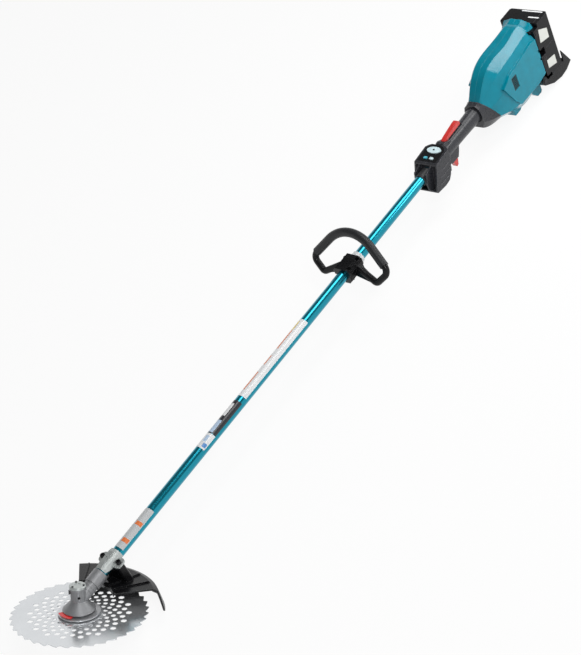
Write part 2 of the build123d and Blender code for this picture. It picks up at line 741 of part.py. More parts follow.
def guard_bolts():
    """Two socket bolts through the ears into the block."""
    items = []
    top = BRACKET_SPLIT + BRACKET_EAR_T
    for side in (-1, 1):
        x, y = bracket_bolt_x(), side * BRACKET_BOLT_Y
        bolt = disc(BRACKET_BOLT_R - 0.02, BRACKET_SPLIT - 18, top, x, y)
        bolt += disc(5.0, top, top + 5.5, x, y)
        bolt -= Pos(x, y, top + 3) * extrude(RegularPolygon(2.6, 6), amount=4)
        items.append(bolt)
    return group(*items)


# ---------------------------------------------------------------- loop handle
def loop_plane():
    """Plane of the loop: x across the machine, y up the leaning loop."""
    lean = radians(LOOP_LEAN)
    return Plane(origin=(HANDLE_X, 0, 0), x_dir=(0, 1, 0), z_dir=(cos(lean), 0, -sin(lean)))


def run_on(edge, length):
    """Straight run that carries on from the end of an edge."""
    return Line(edge @ 1, edge @ 1 + length * (edge % 1))


def loop_half():
    """Right half of the loop from its top: crown, side, corner, foot, heel and arm."""
    crown = JernArc((0, LOOP_TOP), (1, 0), LOOP_CROWN_R, -LOOP_SLOPE)
    side = run_on(crown, LOOP_SIDE)
    corner = JernArc(side @ 1, side % 1, LOOP_CORNER_R, -LOOP_CORNER_TURN)
    foot = run_on(corner, LOOP_FOOT)
    heel = JernArc(foot @ 1, foot % 1, LOOP_HEEL_R, -LOOP_HEEL_TURN)
    return [crown, side, corner, foot, heel, run_on(heel, LOOP_ARM)]


def loop_path(count):
    """Centre line of the loop in space: the first few edges of each half."""
    half = loop_half()[:count]
    other = [mirror(edge, about=Plane.YZ) for edge in half]
    path = Wire([edge.edge() for edge in half + other])
    return loop_plane() * Pos(LOOP_OFFSET, 0, 0) * path


def swept_tube(path, radius, bore=0.0):
    """Round bar or tube along a path."""
    section = Circle(radius)
    if bore:
        section -= Circle(bore)
    return sweep(Plane(origin=path @ 0, z_dir=path % 0) * section, path=path)


def handle_loop():
    """Moulded loop frame with gussets and the upper half of the pipe clamp."""
    plane = loop_plane()
    body = swept_tube(loop_path(6), LOOP_CORE_R)
    web = make_face(Polyline(
        (56, -18), (50, -6), (28, 8), (14, HUB_TOP - 3), (-14, HUB_TOP - 3), (-34, 8),
        (-56, -6), (-62, -18), (-20, -10), (20, -10), close=True))
    body += plane * extrude(web, amount=LOOP_CORE_R * 0.8, both=True)
    start, end = HANDLE_X - HUB_LENGTH / 2, HANDLE_X + HUB_LENGTH / 2
    hub = block(start, end, -HUB_HALF_WIDTH, HUB_HALF_WIDTH, HUB_GAP / 2, HUB_TOP)
    hub = chamfer(hub.edges().filter_by(Axis.X).group_by(Axis.Z)[-1], 9.0)
    hub = fillet(hub.edges().filter_by(Axis.Z), 4.0)
    body += hub
    body -= block(start - 20, end + 20, -HUB_CAP_HALF_WIDTH - 0.8, HUB_CAP_HALF_WIDTH + 0.8,
                  -40, HUB_GAP / 2)
    body -= rod(PIPE_R, start - 40, end + 40)
    for x, y in hub_bolts_at():
        body -= disc(HUB_BOLT_R, -1, 60, x, y)
        body -= disc(4.6, HUB_TOP - 8.5, 60, x, y)
    return body


def hub_bolts_at():
    """Places of the four clamp bolts."""
    return [(HANDLE_X + dx, dy) for dx in (-HUB_BOLT_SPREAD, HUB_BOLT_SPREAD)
            for dy in (-HUB_BOLT_Y, HUB_BOLT_Y)]


def handle_grip():
    """Soft sleeve round the crown and the straight sides of the loop."""
    return swept_tube(loop_path(2), LOOP_GRIP_R, LOOP_CORE_R + EPS)


def handle_cap():
    """Lower half of the pipe clamp."""
    start, end = HANDLE_X - HUB_LENGTH / 2, HANDLE_X + HUB_LENGTH / 2
    cap = block(start, end, -HUB_CAP_HALF_WIDTH, HUB_CAP_HALF_WIDTH, -HUB_CAP_DROP, -HUB_GAP / 2)
    cap = chamfer(cap.edges().filter_by(Axis.X).group_by(Axis.Z)[0], 9.0)
    cap = fillet(cap.edges().filter_by(Axis.Z), 3.0)
    cap -= rod(PIPE_R, start - 1, end + 1)
    cap -= block(start + 12, end - 12, -HUB_CAP_HALF_WIDTH, HUB_CAP_HALF_WIDTH,
                 -HUB_CAP_DROP - 1, -HUB_CAP_DROP + 4)
    for x, y in hub_bolts_at():
        cap -= disc(HUB_BOLT_R, -HUB_CAP_DROP - 1, 1, x, y)
    return cap


def handle_bolts():
    """Four socket bolts that close the clamp."""
    items = []
    seat = HUB_TOP - 8.5
    for x, y in hub_bolts_at():
        bolt = disc(HUB_BOLT_R - 0.02, -14, seat, x, y) + disc(4.2, seat, seat + 5, x, y)
        bolt -= Pos(x, y, seat + 2.6) * extrude(RegularPolygon(2.3, 6), amount=3)
        items.append(bolt)
    return group(*items)


def handle_spacer():
    """Light ring on the pipe behind the clamp."""
    start = HANDLE_X + HUB_LENGTH / 2 + 0.5
    ring = rod(PIPE_R + SPACER_T, start, start + SPACER_LENGTH)
    ring = chamfer(ring.edges().filter_by(GeomType.CIRCLE), 0.7)
    return ring - rod(PIPE_R, start - 1, start + SPACER_LENGTH + 1)


# ---------------------------------------------------------------- control box
def box_profile(inset=0.0):
    """Side outline of the control box: raked front, level top and rounded-off rear."""
    top_front = BOX_X + BOX_RAKE
    top_rear = top_front + BOX_TOP_LENGTH
    return [
        (BOX_X + inset * 1.3, BOX_BOTTOM + 4 + inset),
        (top_front + inset, BOX_TOP - inset),
        (top_rear - inset, BOX_TOP + BOX_TOP_RISE - inset),
        (top_rear - 14 - inset, 2.0),
        (top_rear - 25 - inset, -24.0),
        (top_rear - 40 - inset, BOX_BOTTOM + 2 + inset),
        (top_rear - 56, BOX_BOTTOM + inset),
    ]


def box_plan(inset=0.0):
    """Plan outline that rounds the rear of the box."""
    half = BOX_HALF_WIDTH - inset
    shoulder = BOX_X + BOX_RAKE + BOX_TOP_LENGTH - 15 - inset
    tail = shoulder + 15
    edges = [
        Line((BOX_X - 5, -half), (shoulder, -half)),
        ThreePointArc((shoulder, -half), (tail, 0), (shoulder, half)),
        Line((shoulder, half), (BOX_X - 5, half)),
        Line((BOX_X - 5, half), (BOX_X - 5, -half)),
    ]
    plan = Pos(0, 0, -80) * extrude(make_face(Curve() + edges), amount=160)
    return plan


def box_body():
    """Whole control box shell, before it is split into its halves."""
    outer = slab(box_profile(), -BOX_HALF_WIDTH, BOX_HALF_WIDTH)
    outer = fillet(outer.edges().filter_by(GeomType.LINE).filter_by(Axis.Y), BOX_EDGE_R)
    outer &= box_plan()
    inner = slab(box_profile(BOX_WALL), -BOX_HALF_WIDTH + BOX_WALL, BOX_HALF_WIDTH - BOX_WALL)
    inner &= box_plan(BOX_WALL)
    shell = outer - inner
    for k in range(3):
        z = -26.0 + k * 13.0
        start = BOX_X + 22 + k * 6.5
        for side in (-1, 1):
            flute = rod(2.2, start, BOX_X + 120, side * (BOX_HALF_WIDTH + 1.1), z)
            shell -= flute
    mouth = slab([
        (BOX_X - 10, BOX_BOTTOM + 8), (BOX_X + 14, BOX_BOTTOM + 8),
        (BOX_X + BOX_RAKE + 2, BOX_TOP - 4), (BOX_X + BOX_RAKE - 14, BOX_TOP - 4),
    ], -MOUTH_HALF_WIDTH, MOUTH_HALF_WIDTH)
    shell -= mouth
    liner = slab([
        (BOX_X + 13, BOX_BOTTOM + 5), (BOX_X + 16, BOX_BOTTOM + 5),
        (BOX_X + BOX_RAKE + 5, BOX_TOP - 2), (BOX_X + BOX_RAKE + 2, BOX_TOP - 2),
    ], -MOUTH_HALF_WIDTH - 1, MOUTH_HALF_WIDTH + 1)
    shell += liner & inner
    for side in (-1, 1):
        shell += box_cheek(side) & box_plan(0.5)
    shell -= rod(PIPE_R + BOOT_T, BOX_X - 40, BOX_X + 24)
    shell -= rod(PIPE_R, BOX_X - 20, BOX_X + 200)
    return shell


def box_cheek(side):
    """Kinked cheek that stands beside the pipe in the front recess."""
    inner, outer = PIPE_R + 1.6, PIPE_R + 1.6 + CHEEK_T
    low, high = (inner, outer) if side > 0 else (-outer, -inner)
    cheek = slab([
        (BOX_X + 2, 14.0), (BOX_X - 9, -18.0), (BOX_X + 3, BOX_BOTTOM + 6),
        (BOX_X + 15, BOX_BOTTOM + 6), (BOX_X + BOX_RAKE + 4, BOX_TOP - 3),
        (BOX_X + BOX_RAKE - 4, BOX_TOP - 3),
    ], low, high)
    return cheek


def pipe_boot():
    """Dark rubber boot on the pipe where it enters the box."""
    boot = rod(PIPE_R + BOOT_T, BOX_X - BOOT_REACH, BOX_X + 23.5)
    boot = chamfer(boot.edges().filter_by(GeomType.CIRCLE).sort_by(Axis.X)[0], 1.2)
    return boot - rod(PIPE_R, BOX_X - 30, BOX_X + 30)


def panel_plane():
    """Plane of the top panel, x towards the user."""
    rise = degrees(atan(BOX_TOP_RISE / BOX_TOP_LENGTH))
    return Plane(origin=(BOX_X + BOX_RAKE, 0, BOX_TOP)) * Rot(0, -rise, 0)


def panel_cut(depth, grow=0.0):
    """Oval and oblong button openings in the top panel."""
    oval = Ellipse(POWER_BUTTON[0] * 0.62 + grow, POWER_BUTTON[1] * 1.5 + grow)
    cuts = Pos(38, 0, -depth) * extrude(oval, amount=depth + 20)
    for side in (-1, 1):
        small = RectangleRounded(SMALL_BUTTON[1] + 2 * grow, SMALL_BUTTON[0] + 2 * grow, 1.6)
        cuts += Pos(14, side * 8.0, -depth) * extrude(small, amount=depth + 20)
    return panel_plane() * cuts


def display_panel():
    """Dark inset panel on top of the control box."""
    half = BOX_HALF_WIDTH - 5
    outline = make_face(Curve() + [
        Line((5, -half), (40, -half)), ThreePointArc((40, -half), (57, 0), (40, half)),
        Line((40, half), (5, half)), Line((5, half), (5, -half)),
    ])
    plate = Pos(0, 0, -1.0) * extrude(outline, amount=PANEL_T)
    return (panel_plane() * plate) - panel_cut(10, BUTTON_GAP)


def top_button(x, y, shape, height):
    """Push button that stands proud of the panel."""
    stem = Pos(x, y, -BUTTON_STEM) * extrude(shape, amount=height + BUTTON_STEM)
    return panel_plane() * stem


def power_button():
    """Large oval main switch."""
    oval = Ellipse(POWER_BUTTON[0] * 0.62, POWER_BUTTON[1] * 1.5)
    return top_button(38, 0, oval, PANEL_T + BUTTON_TRAVEL)


def small_button(side):
    """Small oblong switch in front of the main one."""
    oblong = RectangleRounded(SMALL_BUTTON[1], SMALL_BUTTON[0], 1.6)
    return top_button(14, side * 8.0, oblong, PANEL_T + BUTTON_TRAVEL * 0.8)


def control_board():
    """Circuit board under the panel."""
    board = Pos(29, 0, -6.0) * Box(40, 38, 1.6)
    keys = [Pos(x, y, -4.6) * Box(5, 5, 1.2) for x, y in ((38, 0), (14, 8), (14, -8))]
    posts = [Pos(x, y, -4.0) * Box(4, 3, 2.4) for x, y in ((45, 13), (45, -13))]
    board += keys
    board += posts
    return panel_plane() * board


def split_y(shape, side):
    """Half of a shell on one side of the middle plane."""
    low, high = (-400, 0) if side < 0 else (0, 400)
    return shape & block(-500, 3000, low, high, -500, 500)


# ---------------------------------------------------------------- rear grip
def grip_section(x, scale):
    """Oval section of the grip."""
    plane = Plane(origin=(x, 0, 0), x_dir=(0, 1, 0), z_dir=(1, 0, 0))
    return plane * Ellipse(GRIP_HALF_WIDTH * scale, GRIP_HALF_HEIGHT * scale)


def grip_body():
    """Grip round the pipe with the trigger block below and the lever slot on top."""
    mid = (GRIP_START + GRIP_END) / 2
    body = loft([grip_section(GRIP_START, 1.02), grip_section(mid, 1.0),
                 grip_section(GRIP_END, GRIP_REAR_GROWTH)])
    front, rear = TRIGGER_X - 16, TRIGGER_X + 21
    web = slab([
        (front, -8), (front, -TRIGGER_BLOCK_DROP + 3), (front + 4, -TRIGGER_BLOCK_DROP),
        (rear - 9, -TRIGGER_BLOCK_DROP), (rear - 3, -TRIGGER_BLOCK_DROP + 9), (rear + 6, -8),
    ], -TRIGGER_BLOCK_WIDTH / 2, TRIGGER_BLOCK_WIDTH / 2)
    body += web
    hood = slab([
        (LEVER_X - 17, 10), (LEVER_X - 17, 25), (LEVER_X - 8, 25.5), (LEVER_X + 9, 18), (LEVER_X + 9, 10),
    ], -10.5, 10.5)
    body += hood
    slot = LEVER_WIDTH / 2 + SIDE_GAP
    body -= block(LEVER_X - 7, LEVER_X + LEVER_LENGTH + 4, -slot, slot, PIPE_R + 0.6, 60)
    pocket = TRIGGER_WIDTH / 2 + SIDE_GAP
    body -= block(front + 4, rear - 4.5, -pocket, pocket, -80, -PIPE_R - 1.2)
    body -= pin_y(PIN_R, LEVER_X, LEVER_REST - 2.0, 30)
    body -= pin_y(PIN_R, TRIGGER_X - 4, -TRIGGER_HINGE_DROP, 30)
    body -= rod(PIPE_R, GRIP_START - 1, GRIP_END + 1)
    clear_box = slab(box_profile(), -BOX_HALF_WIDTH, BOX_HALF_WIDTH) & box_plan()
    return body - clear_box


def trigger():
    """Hooked trigger with a round hinge boss."""
    hinge = (TRIGGER_X - 4, -TRIGGER_HINGE_DROP)
    x, z = hinge
    half = TRIGGER_WIDTH / 2
    body = slab([
        (x - 4, z + 4), (x + 15, z + 4), (x + 17, -TRIGGER_BLOCK_DROP + 1),
        (x + 16, -TRIGGER_BLOCK_DROP - 8), (x + 12, -TRIGGER_DROP + 2), (x + 6, -TRIGGER_DROP),
        (x + 3, -TRIGGER_DROP + 9), (x - 3, -TRIGGER_BLOCK_DROP - 1), (x - 4, z - 6),
    ], -half, half)
    body = fillet(body.edges().filter_by(Axis.Y).group_by(Axis.Z)[0], 1.2)
    return body - pin_y(PIN_R + RUN_FIT, x, z, 20)


def lock_off_lever():
    """Long lever on top of the grip, hinged at its front end."""
    half = LEVER_WIDTH / 2
    rear = LEVER_X + LEVER_LENGTH
    body = slab([
        (LEVER_X - 4, LEVER_REST - 4.5), (LEVER_X + 5, LEVER_REST - 4.5), (LEVER_X + 9, LEVER_REST),
        (rear - 2, LEVER_REST + 1.5), (rear, LEVER_REST + 8), (rear - 5, LEVER_TOP),
        (rear - 14, LEVER_TOP), (LEVER_X + 6, LEVER_REST + 6.5), (LEVER_X - 3, LEVER_REST + 3.5),
    ], -half, half)
    body = fillet(body.edges().filter_by(Axis.Y).group_by(Axis.Z)[-1], 3.0)
    return body - pin_y(PIN_R + RUN_FIT, LEVER_X, LEVER_REST - 2.0, 20)


def hinge_pins():
    """Pins of the trigger and the lever."""
    lever = pin_y(PIN_R, LEVER_X, LEVER_REST - 2.0, 9.8)
    trig = pin_y(PIN_R, TRIGGER_X - 4, -TRIGGER_HINGE_DROP, TRIGGER_BLOCK_WIDTH / 2)
    return group(lever, trig)


# ---------------------------------------------------------------- collar and motor housing
def housing_corners(a, z1, w, z2, half, z3, z4, b, z5):
    """Ten corners of one section, from the top edge round the user's right to the left."""
    right = [(a, z1), (w, z2), (half, z3), (half, z4), (b, z5)]
    return right + [(-y, z) for y, z in reversed(right)]


def collar_stations():
    """Sections of the collar along the shaft: top, bevel, side and bottom."""
    return [
        (COLLAR_X, housing_corners(11, 25, 19, 18, 23, 6, -16, 14, -34)),
        (COLLAR_X + 17, housing_corners(12, 28, 20, 21, 27, 6, -24, 16, -43)),
        (COLLAR_X + 46, housing_corners(15, 44, 26, 35, 37, 8, -31, 20, -48)),
        (COLLAR_X + 81, housing_corners(17, 70, 34, 50, 43, 20, -41, 22, -59)),
    ]


def housing_stations():
    """Sections of the motor housing along the shaft: top, bevel, side and bottom."""
    length = HOUSING_REAR - COLLAR_X
    return [
        (COLLAR_X + 0.05 * length, housing_corners(11, 20, 18, 16, 24, 4, -22, 14, -36)),
        (COLLAR_X + 0.22 * length, housing_corners(16, 60, 26, 41, 38, 8, -32, 20, -47)),
        (COLLAR_X + 0.38 * length, housing_corners(17, 78, 34, 56, 44, 20, -42, 22, -60)),
        (COLLAR_X + 0.55 * length, housing_corners(19, 81, 37, 63, 46, 32, -48, 23, -75)),
        (COLLAR_X + 0.78 * length, housing_corners(18, 82, 35, 66, 46, 40, -51, 24, -79)),
        (HOUSING_REAR, housing_corners(16, 84, 34, 70, 46, 50, -48, 24, -80)),
    ]


def housing_face(x, corners, inset=0.0):
    """Section of the housing as a face, optionally inset by the wall."""
    plane = Plane(origin=(x, 0, 0), x_dir=(0, 1, 0), z_dir=(1, 0, 0))
    face = make_face(Polyline(corners, close=True))
    if inset:
        face = offset(face, amount=-inset, kind=Kind.INTERSECTION)
    return plane * face


def housing_solid(inset=0.0):
    """Solid of the motor housing through all stations."""
    return loft([housing_face(x, corners, inset) for x, corners in housing_stations()])


def hood_solid(inset=0.0):
    """Hood that carries the housing's top back over the front of the upper pack."""
    rear = housing_corners(14, 88, 35, 80, 42, 60, 40, 20, 30)
    corners = housing_stations()[-1][1]
    return loft([housing_face(HOUSING_REAR, corners, inset),
                 housing_face(HOUSING_REAR + HOOD_LENGTH, rear, inset)])


def behind_joint(offset_x=0.0):
    """Half-space behind the slanting joint between collar and housing."""
    lean = Rot(0, -JOINT_LEAN, 0)
    box = Box(600, 400, 600, align=(Align.MIN, Align.CENTER, Align.CENTER))
    return Pos(JOINT_X + offset_x, 0, 0) * lean * box


def housing_body():
    """Housing shell with raised side panels, vents, feet and the motor's seat."""
    outer = housing_solid()
    inner = housing_solid(HOUSING_WALL)
    half = 46.0 + SIDE_PANEL_RISE
    x0, x1, z0, z1 = VENT
    panel = slab([
        (x0 - 32, 24), (x0 - 2, z1 + 10), (HOUSING_REAR - 18, 52), (HOUSING_REAR, 50),
        (HOUSING_REAR, -44), (HOUSING_REAR - 30, -50), (x0 + 8, -48), (x0 - 7, z0 - 22),
    ], -half, half)
    shell = outer + panel
    shell += slab([
        (FRONT_FOOT[0] - 6, -60), (FRONT_FOOT[0], FRONT_FOOT_Z), (FRONT_FOOT[1], FRONT_FOOT_Z),
        (FRONT_FOOT[1] + 22, -70),
    ], -FOOT_HALF_WIDTH, FOOT_HALF_WIDTH)
    shell += slab([
        (REAR_FOOT[0] - 22, -74), (REAR_FOOT[0], FLOOR + 1.5), (REAR_FOOT[0] + 3, FLOOR),
        (REAR_FOOT[1] - 4, FLOOR), (REAR_FOOT[1], FLOOR + 4), (REAR_FOOT[1], -66),
    ], -FOOT_HALF_WIDTH, FOOT_HALF_WIDTH)
    shell -= inner
    shell &= behind_joint()
    shell += hood_shell()
    for side in (-1, 1):
        opening = block(x0, x1, min(0, side * 60), max(0, side * 60), z0, z1)
        shell -= opening
    seat_start = MOTOR_X - MOUNT_T
    seat = block(seat_start - 3, MOTOR_X + STATOR_LENGTH, -60, 60, -90, 90)
    seat = (seat & inner) - rod(STATOR_R, seat_start - 5, MOTOR_X + STATOR_LENGTH + 5)
    seat -= block(0, 3000, -60, 60, 20, 90)
    seat -= block(0, 3000, -60, 60, -90, -22)
    seat -= block(x0 - 2, x1 + 2, -60, 60, z0 - 2, z1 + 2)
    shell += seat
    for x, z, depth in screw_places():
        shell -= Pos(x, depth, z) * Rot(-90, 0, 0) * disc(SCREW_R, 0, 10)
    for centre in PACK_CENTRES:
        for side in (-1, 1):
            shell -= rail_shape(centre, side, RAIL_GAP, -60, rail_end() + 1)
    return shell


def hood_shell():
    """Hood with the space of the upper pack's front part taken out."""
    shoulder = PACK_TOP - PACK_NOTCH + 0.8
    roof = hood_solid() - block(HOUSING_REAR - 1, 1700, -60, 60, -100, shoulder)
    roof -= hood_solid(HOUSING_WALL) & block(HOUSING_REAR - 1, 1700, -60, 60, 0, 200)
    return roof - block(PACK_FRONT + NOSE_DEPTH - 1, 1700, -60, 60, -60, PACK_TOP + 0.6)


def collar_body():
    """Dark collar between grip and housing, closed round the pipe."""
    stations = collar_stations()
    outer = loft([housing_face(x, corners) for x, corners in stations])
    inner = loft([housing_face(x, corners, HOUSING_WALL) for x, corners in stations])
    inner &= block(COLLAR_X + 6, 3000, -200, 200, -200, 200)
    shell = (outer - inner) - behind_joint()
    return shell - rod(PIPE_R, COLLAR_X - 1, PIPE_END + 1) - grip_clearance()


def grip_clearance():
    """Space taken by the end of the grip."""
    return rod(GRIP_HALF_HEIGHT * GRIP_REAR_GROWTH + 0.2, COLLAR_X - 5, GRIP_END)


def vent_grilles():
    """Louvred inserts in the side vents."""
    x0, x1, z0, z1 = VENT
    items = []
    for side in (-1, 1):
        outer = side * (46.0 + SIDE_PANEL_RISE - 0.8)
        inner = side * (46.0 - HOUSING_WALL)
        low, high = min(outer, inner), max(outer, inner)
        frame = block(x0, x1, low, high, z0, z1)
        for k in range(7):
            z = z0 + 3.2 + k * 4.2
            frame -= block(x0 + 2.5, x1 - 2.5, low - 1, high + 1, z, z + 2.4)
        items.append(frame)
    return group(*items)


def screw_places():
    """Station, height and depth of each screw that joins the housing halves."""
    wall = housing_solid()
    places = []
    for x, z in ((1455, 34), (1455, -44), (1545, 44), (1560, -62)):
        probe = Pos(x, 0, z) * Rot(-90, 0, 0) * disc(SCREW_R, 20, 80)
        places.append((x, z, (probe & wall).bounding_box().max.Y - SCREW_DEPTH))
    return places


def housing_screws():
    """Screws that join the two housing halves, entered from the user's right."""
    return group(*[Pos(x, depth, z) * Rot(-90, 0, 0) * disc(SCREW_R - EPS, 0, 2.0)
                   for x, z, depth in screw_places()])


# ---------------------------------------------------------------- motor
def coupling_start():
    """Station of the coupling between drive shaft and motor shaft."""
    return MOTOR_X - MOUNT_T - 34.0


def shaft_coupling():
    """Steel sleeve that joins drive shaft and motor shaft."""
    start = coupling_start()
    sleeve = rod(9.0, start, start + 26.0)
    sleeve = chamfer(sleeve.edges().filter_by(GeomType.CIRCLE), 1.0)
    sleeve -= rod(DRIVE_R, start - 1, start + 14.0)
    return sleeve - rod(MOTOR_SHAFT_R, start + 14.0, start + 30.0)


def motor_rotor():
    """Rotor pack on its shaft."""
    start = coupling_start() + 14.0
    end = MOTOR_X + STATOR_LENGTH + FAN_T + 14.0
    return rod(MOTOR_SHAFT_R, start, end) + rod(ROTOR_R, MOTOR_X, MOTOR_X + STATOR_LENGTH)


def motor_stator():
    """Laminated stator ring with twelve wound teeth."""
    start, end = MOTOR_X, MOTOR_X + STATOR_LENGTH
    body = rod(STATOR_R, start, end) - rod(ROTOR_R + AIR_GAP, start - 1, end + 1)
    for k in range(12):
        slot = rod(2.6, start - 1, end + 1, (ROTOR_R + STATOR_R) / 2 + 0.5, 0)
        body -= Rot(15 + k * 30, 0, 0) * slot
    return body


def motor_mount():
    """Plate with the front motor bearing seat, and the rear bearing bridge."""
    front = rod(STATOR_R, MOTOR_X - MOUNT_T, MOTOR_X)
    front -= rod(ROTOR_R + 2, MOTOR_X - MOUNT_T + 3, MOTOR_X + 1)
    front -= rod(MOTOR_SHAFT_R + 6, MOTOR_X - MOUNT_T - 1, MOTOR_X + 1)
    return front


def motor_bearings():
    """Front motor bearing."""
    ring = bearing((MOTOR_SHAFT_R + 6, MOUNT_T - 0.5), MOTOR_SHAFT_R + RUN_FIT, MOTOR_X - MOUNT_T)
    return Rot(0, 90, 0) * ring


def cooling_fan():
    """Radial fan behind the motor."""
    start = MOTOR_X + STATOR_LENGTH + 2.0
    fan = rod(FAN_R, start, start + 1.6) + rod(MOTOR_SHAFT_R + 4, start, start + FAN_T)
    vane = block(start, start + FAN_T - 1, MOTOR_SHAFT_R + 2, FAN_R - 1, -0.8, 0.8)
    for k in range(FAN_BLADES):
        fan += Rot(k * 360.0 / FAN_BLADES, 0, 0) * vane
    return fan - rod(MOTOR_SHAFT_R, start - 1, start + FAN_T + 1)


def motor_controller():
    """Potted motor controller behind the fan."""
    start = MOTOR_X + STATOR_LENGTH + FAN_T + 18.0
    tray = block(start, start + 24, -34, 34, -52, 58)
    tray = fillet(tray.edges().filter_by(Axis.X), 3.0)
    tray += block(start + 5, start + 19, -18, 18, -90, -50) & housing_solid(HOUSING_WALL)
    for k in range(6):
        tray -= block(start - 1, start + 4, -36, 36, -44 + k * 17, -38 + k * 17)
    return tray


# ---------------------------------------------------------------- battery side
def battery_mount():
    """Rear plate of the housing with two pairs of grooves for the pack rails."""
    low = PACK_CENTRES[1] - PACK_WIDTH / 2 + 6
    high = PACK_TOP + 6
    plate = block(HOUSING_REAR - 12, HOUSING_REAR + 1.6, -44, 44, low, high)
    section = housing_face(HOUSING_REAR - 13, housing_stations()[-1][1], HOUSING_WALL + 1.2)
    plate &= extrude(section, amount=20, dir=(1, 0, 0))
    plate -= housing_solid() - housing_solid(HOUSING_WALL + 0.1)
    for centre in PACK_CENTRES:
        for side in (-1, 1):
            plate -= rail_shape(centre, side, RAIL_GAP, -60, rail_end() + 1)
    for centre in PACK_CENTRES:
        plate -= block(HOUSING_REAR - 20, HOUSING_REAR - 9, -36, 36, centre - 14, centre + 14)
    return plate


def rail_end():
    """End of the pack rails on the user's right."""
    return NOSE_END - 4.0


def rail_shape(centre, side, grow, y0, y1):
    """L-shaped rail of a pack, or its groove when grown by the clearance."""
    z_in = centre + side * (RAIL_SPREAD - grow)
    z_neck = centre + side * (RAIL_SPREAD + RAIL_NECK + grow)
    z_lip = centre + side * (RAIL_SPREAD + RAIL_NECK + RAIL_LIP + grow)
    depth = RAIL_DEPTH + grow
    back = PACK_FRONT + (0.02 if not grow else 1.0)
    neck = block(PACK_FRONT - depth, back, y0, y1, min(z_in, z_neck), max(z_in, z_neck))
    lip = block(PACK_FRONT - depth, PACK_FRONT - depth + 2.4 + 2 * grow, y0, y1,
                min(z_in, z_lip), max(z_in, z_lip))
    return neck + lip


def pack_case(centre):
    """Battery pack: long cell body, shorter nose with rails, end caps and release pocket."""
    half = PACK_LENGTH / 2
    low, high = centre - PACK_WIDTH / 2, centre + PACK_WIDTH / 2
    step = PACK_FRONT + NOSE_DEPTH
    body = block(step, PACK_REAR, -half, half, low, high)
    body = chamfer(body.edges().filter_by(Axis.Z).group_by(Axis.X)[-1], PACK_END_CHAMFER)
    body = chamfer(body.edges().filter_by(Axis.Y).group_by(Axis.X)[-1], PACK_EDGE_CHAMFER)
    body = chamfer(body.edges().filter_by(Axis.Y).group_by(Axis.X)[0], 1.5)
    nose = block(PACK_FRONT, step + 5, -half, NOSE_END, low + PACK_NOTCH, high - PACK_NOTCH)
    nose = fillet(nose.edges().filter_by(Axis.Y).group_by(Axis.X)[0], 2.5)
    body += nose
    for side in (-1, 1):
        body += rail_shape(centre, side, 0.0, -half + 8, rail_end())
    cap = block(step + 4, PACK_REAR + 1, -half + 11, -half + 12, low - 1, high + 1)
    body -= cap - block(step, PACK_REAR - 0.8, -half, half, low + 0.8, high - 0.8)
    body -= block(PACK_REAR - 1.0, PACK_REAR + 1, -half + 18, half - 14, centre - 20, centre + 20)
    return body - latch_pocket(centre)


def latch_block(centre, grow, y0, y1):
    """Block on the end of the nose, for the release button or its pocket."""
    top = centre + PACK_WIDTH / 2 - PACK_NOTCH - 3.0
    start = PACK_FRONT + 3.0
    return block(start - grow, start + LATCH_WIDTH + grow, y0, y1, top - LATCH_HEIGHT - grow,
                 top + grow)


def latch_pocket(centre):
    """Pocket for the release button in the end of the nose."""
    end = -PACK_LENGTH / 2
    return latch_block(centre, LATCH_GAP, end - 1, end + LATCH_TRAVEL + LATCH_DEPTH)


def pack_latch(centre):
    """Release button in the end of the nose, pressed inwards."""
    end = -PACK_LENGTH / 2
    body = latch_block(centre, 0.0, end - 0.6, end + LATCH_DEPTH - 0.5)
    return fillet(body.faces().sort_by(Axis.Y)[0].edges(), 0.5)


def bumper():
    """Open cradle that shields the lower pack and stands on the floor."""
    low = PACK_CENTRES[1] - PACK_WIDTH / 2 - 0.8
    rim = BUMPER_REACH
    arm_end = PACK_FRONT - RAIL_DEPTH - 1.0
    rail_low = PACK_CENTRES[1] - RAIL_SPREAD - RAIL_NECK - RAIL_LIP - 1.0
    outline = [
        (HOUSING_REAR - 26, low + 13), (HOUSING_REAR - 14, low - 5), (HOUSING_REAR + 18, low - 22),
        (HOUSING_REAR + 48, low - 28), (HOUSING_REAR + 72, low - 26), (rim, FLOOR + 18),
        (PACK_REAR + 2.5, low + 28), (PACK_REAR + 1.2, low), (HOUSING_REAR + 3, low),
        (arm_end, rail_low), (arm_end, low + 13),
    ]
    body = slab(outline, -BUMPER_HALF_WIDTH, BUMPER_HALF_WIDTH)
    hollow = slab([
        (HOUSING_REAR - 22, low + 20), (HOUSING_REAR - 11, low - 3), (HOUSING_REAR + 19, low - 19),
        (HOUSING_REAR + 49, low - 25), (HOUSING_REAR + 71, low - 23), (rim - 4, FLOOR + 20),
        (rim + 10, FLOOR + 40), (PACK_REAR + 5, low + 60), (HOUSING_REAR, low + 60),
    ], -BUMPER_HALF_WIDTH + BUMPER_T, BUMPER_HALF_WIDTH - BUMPER_T)
    body -= hollow
    for y in (-24, 24):
        rib = slab(outline[1:6] + [(PACK_REAR + 1.5, low), (HOUSING_REAR + 3, low)], y - 1.5, y + 1.5)
        body += rib
    body -= slab([
        (REAR_FOOT[0] - 24, -40), (REAR_FOOT[0] - 24, FLOOR - 5), (REAR_FOOT[1] + 0.4, FLOOR - 5),
        (REAR_FOOT[1] + 0.4, -40),
    ], -FOOT_HALF_WIDTH - 1, FOOT_HALF_WIDTH + 1)
    for side in (-1, 1):
        boss = Pos(HOUSING_REAR - 13, side * (BUMPER_HALF_WIDTH - 0.5), low + 7) * Rot(90, 0, 0)
        body += boss * Cylinder(9.0, 5.0)
    return body - housing_solid() - bumper_side_relief()


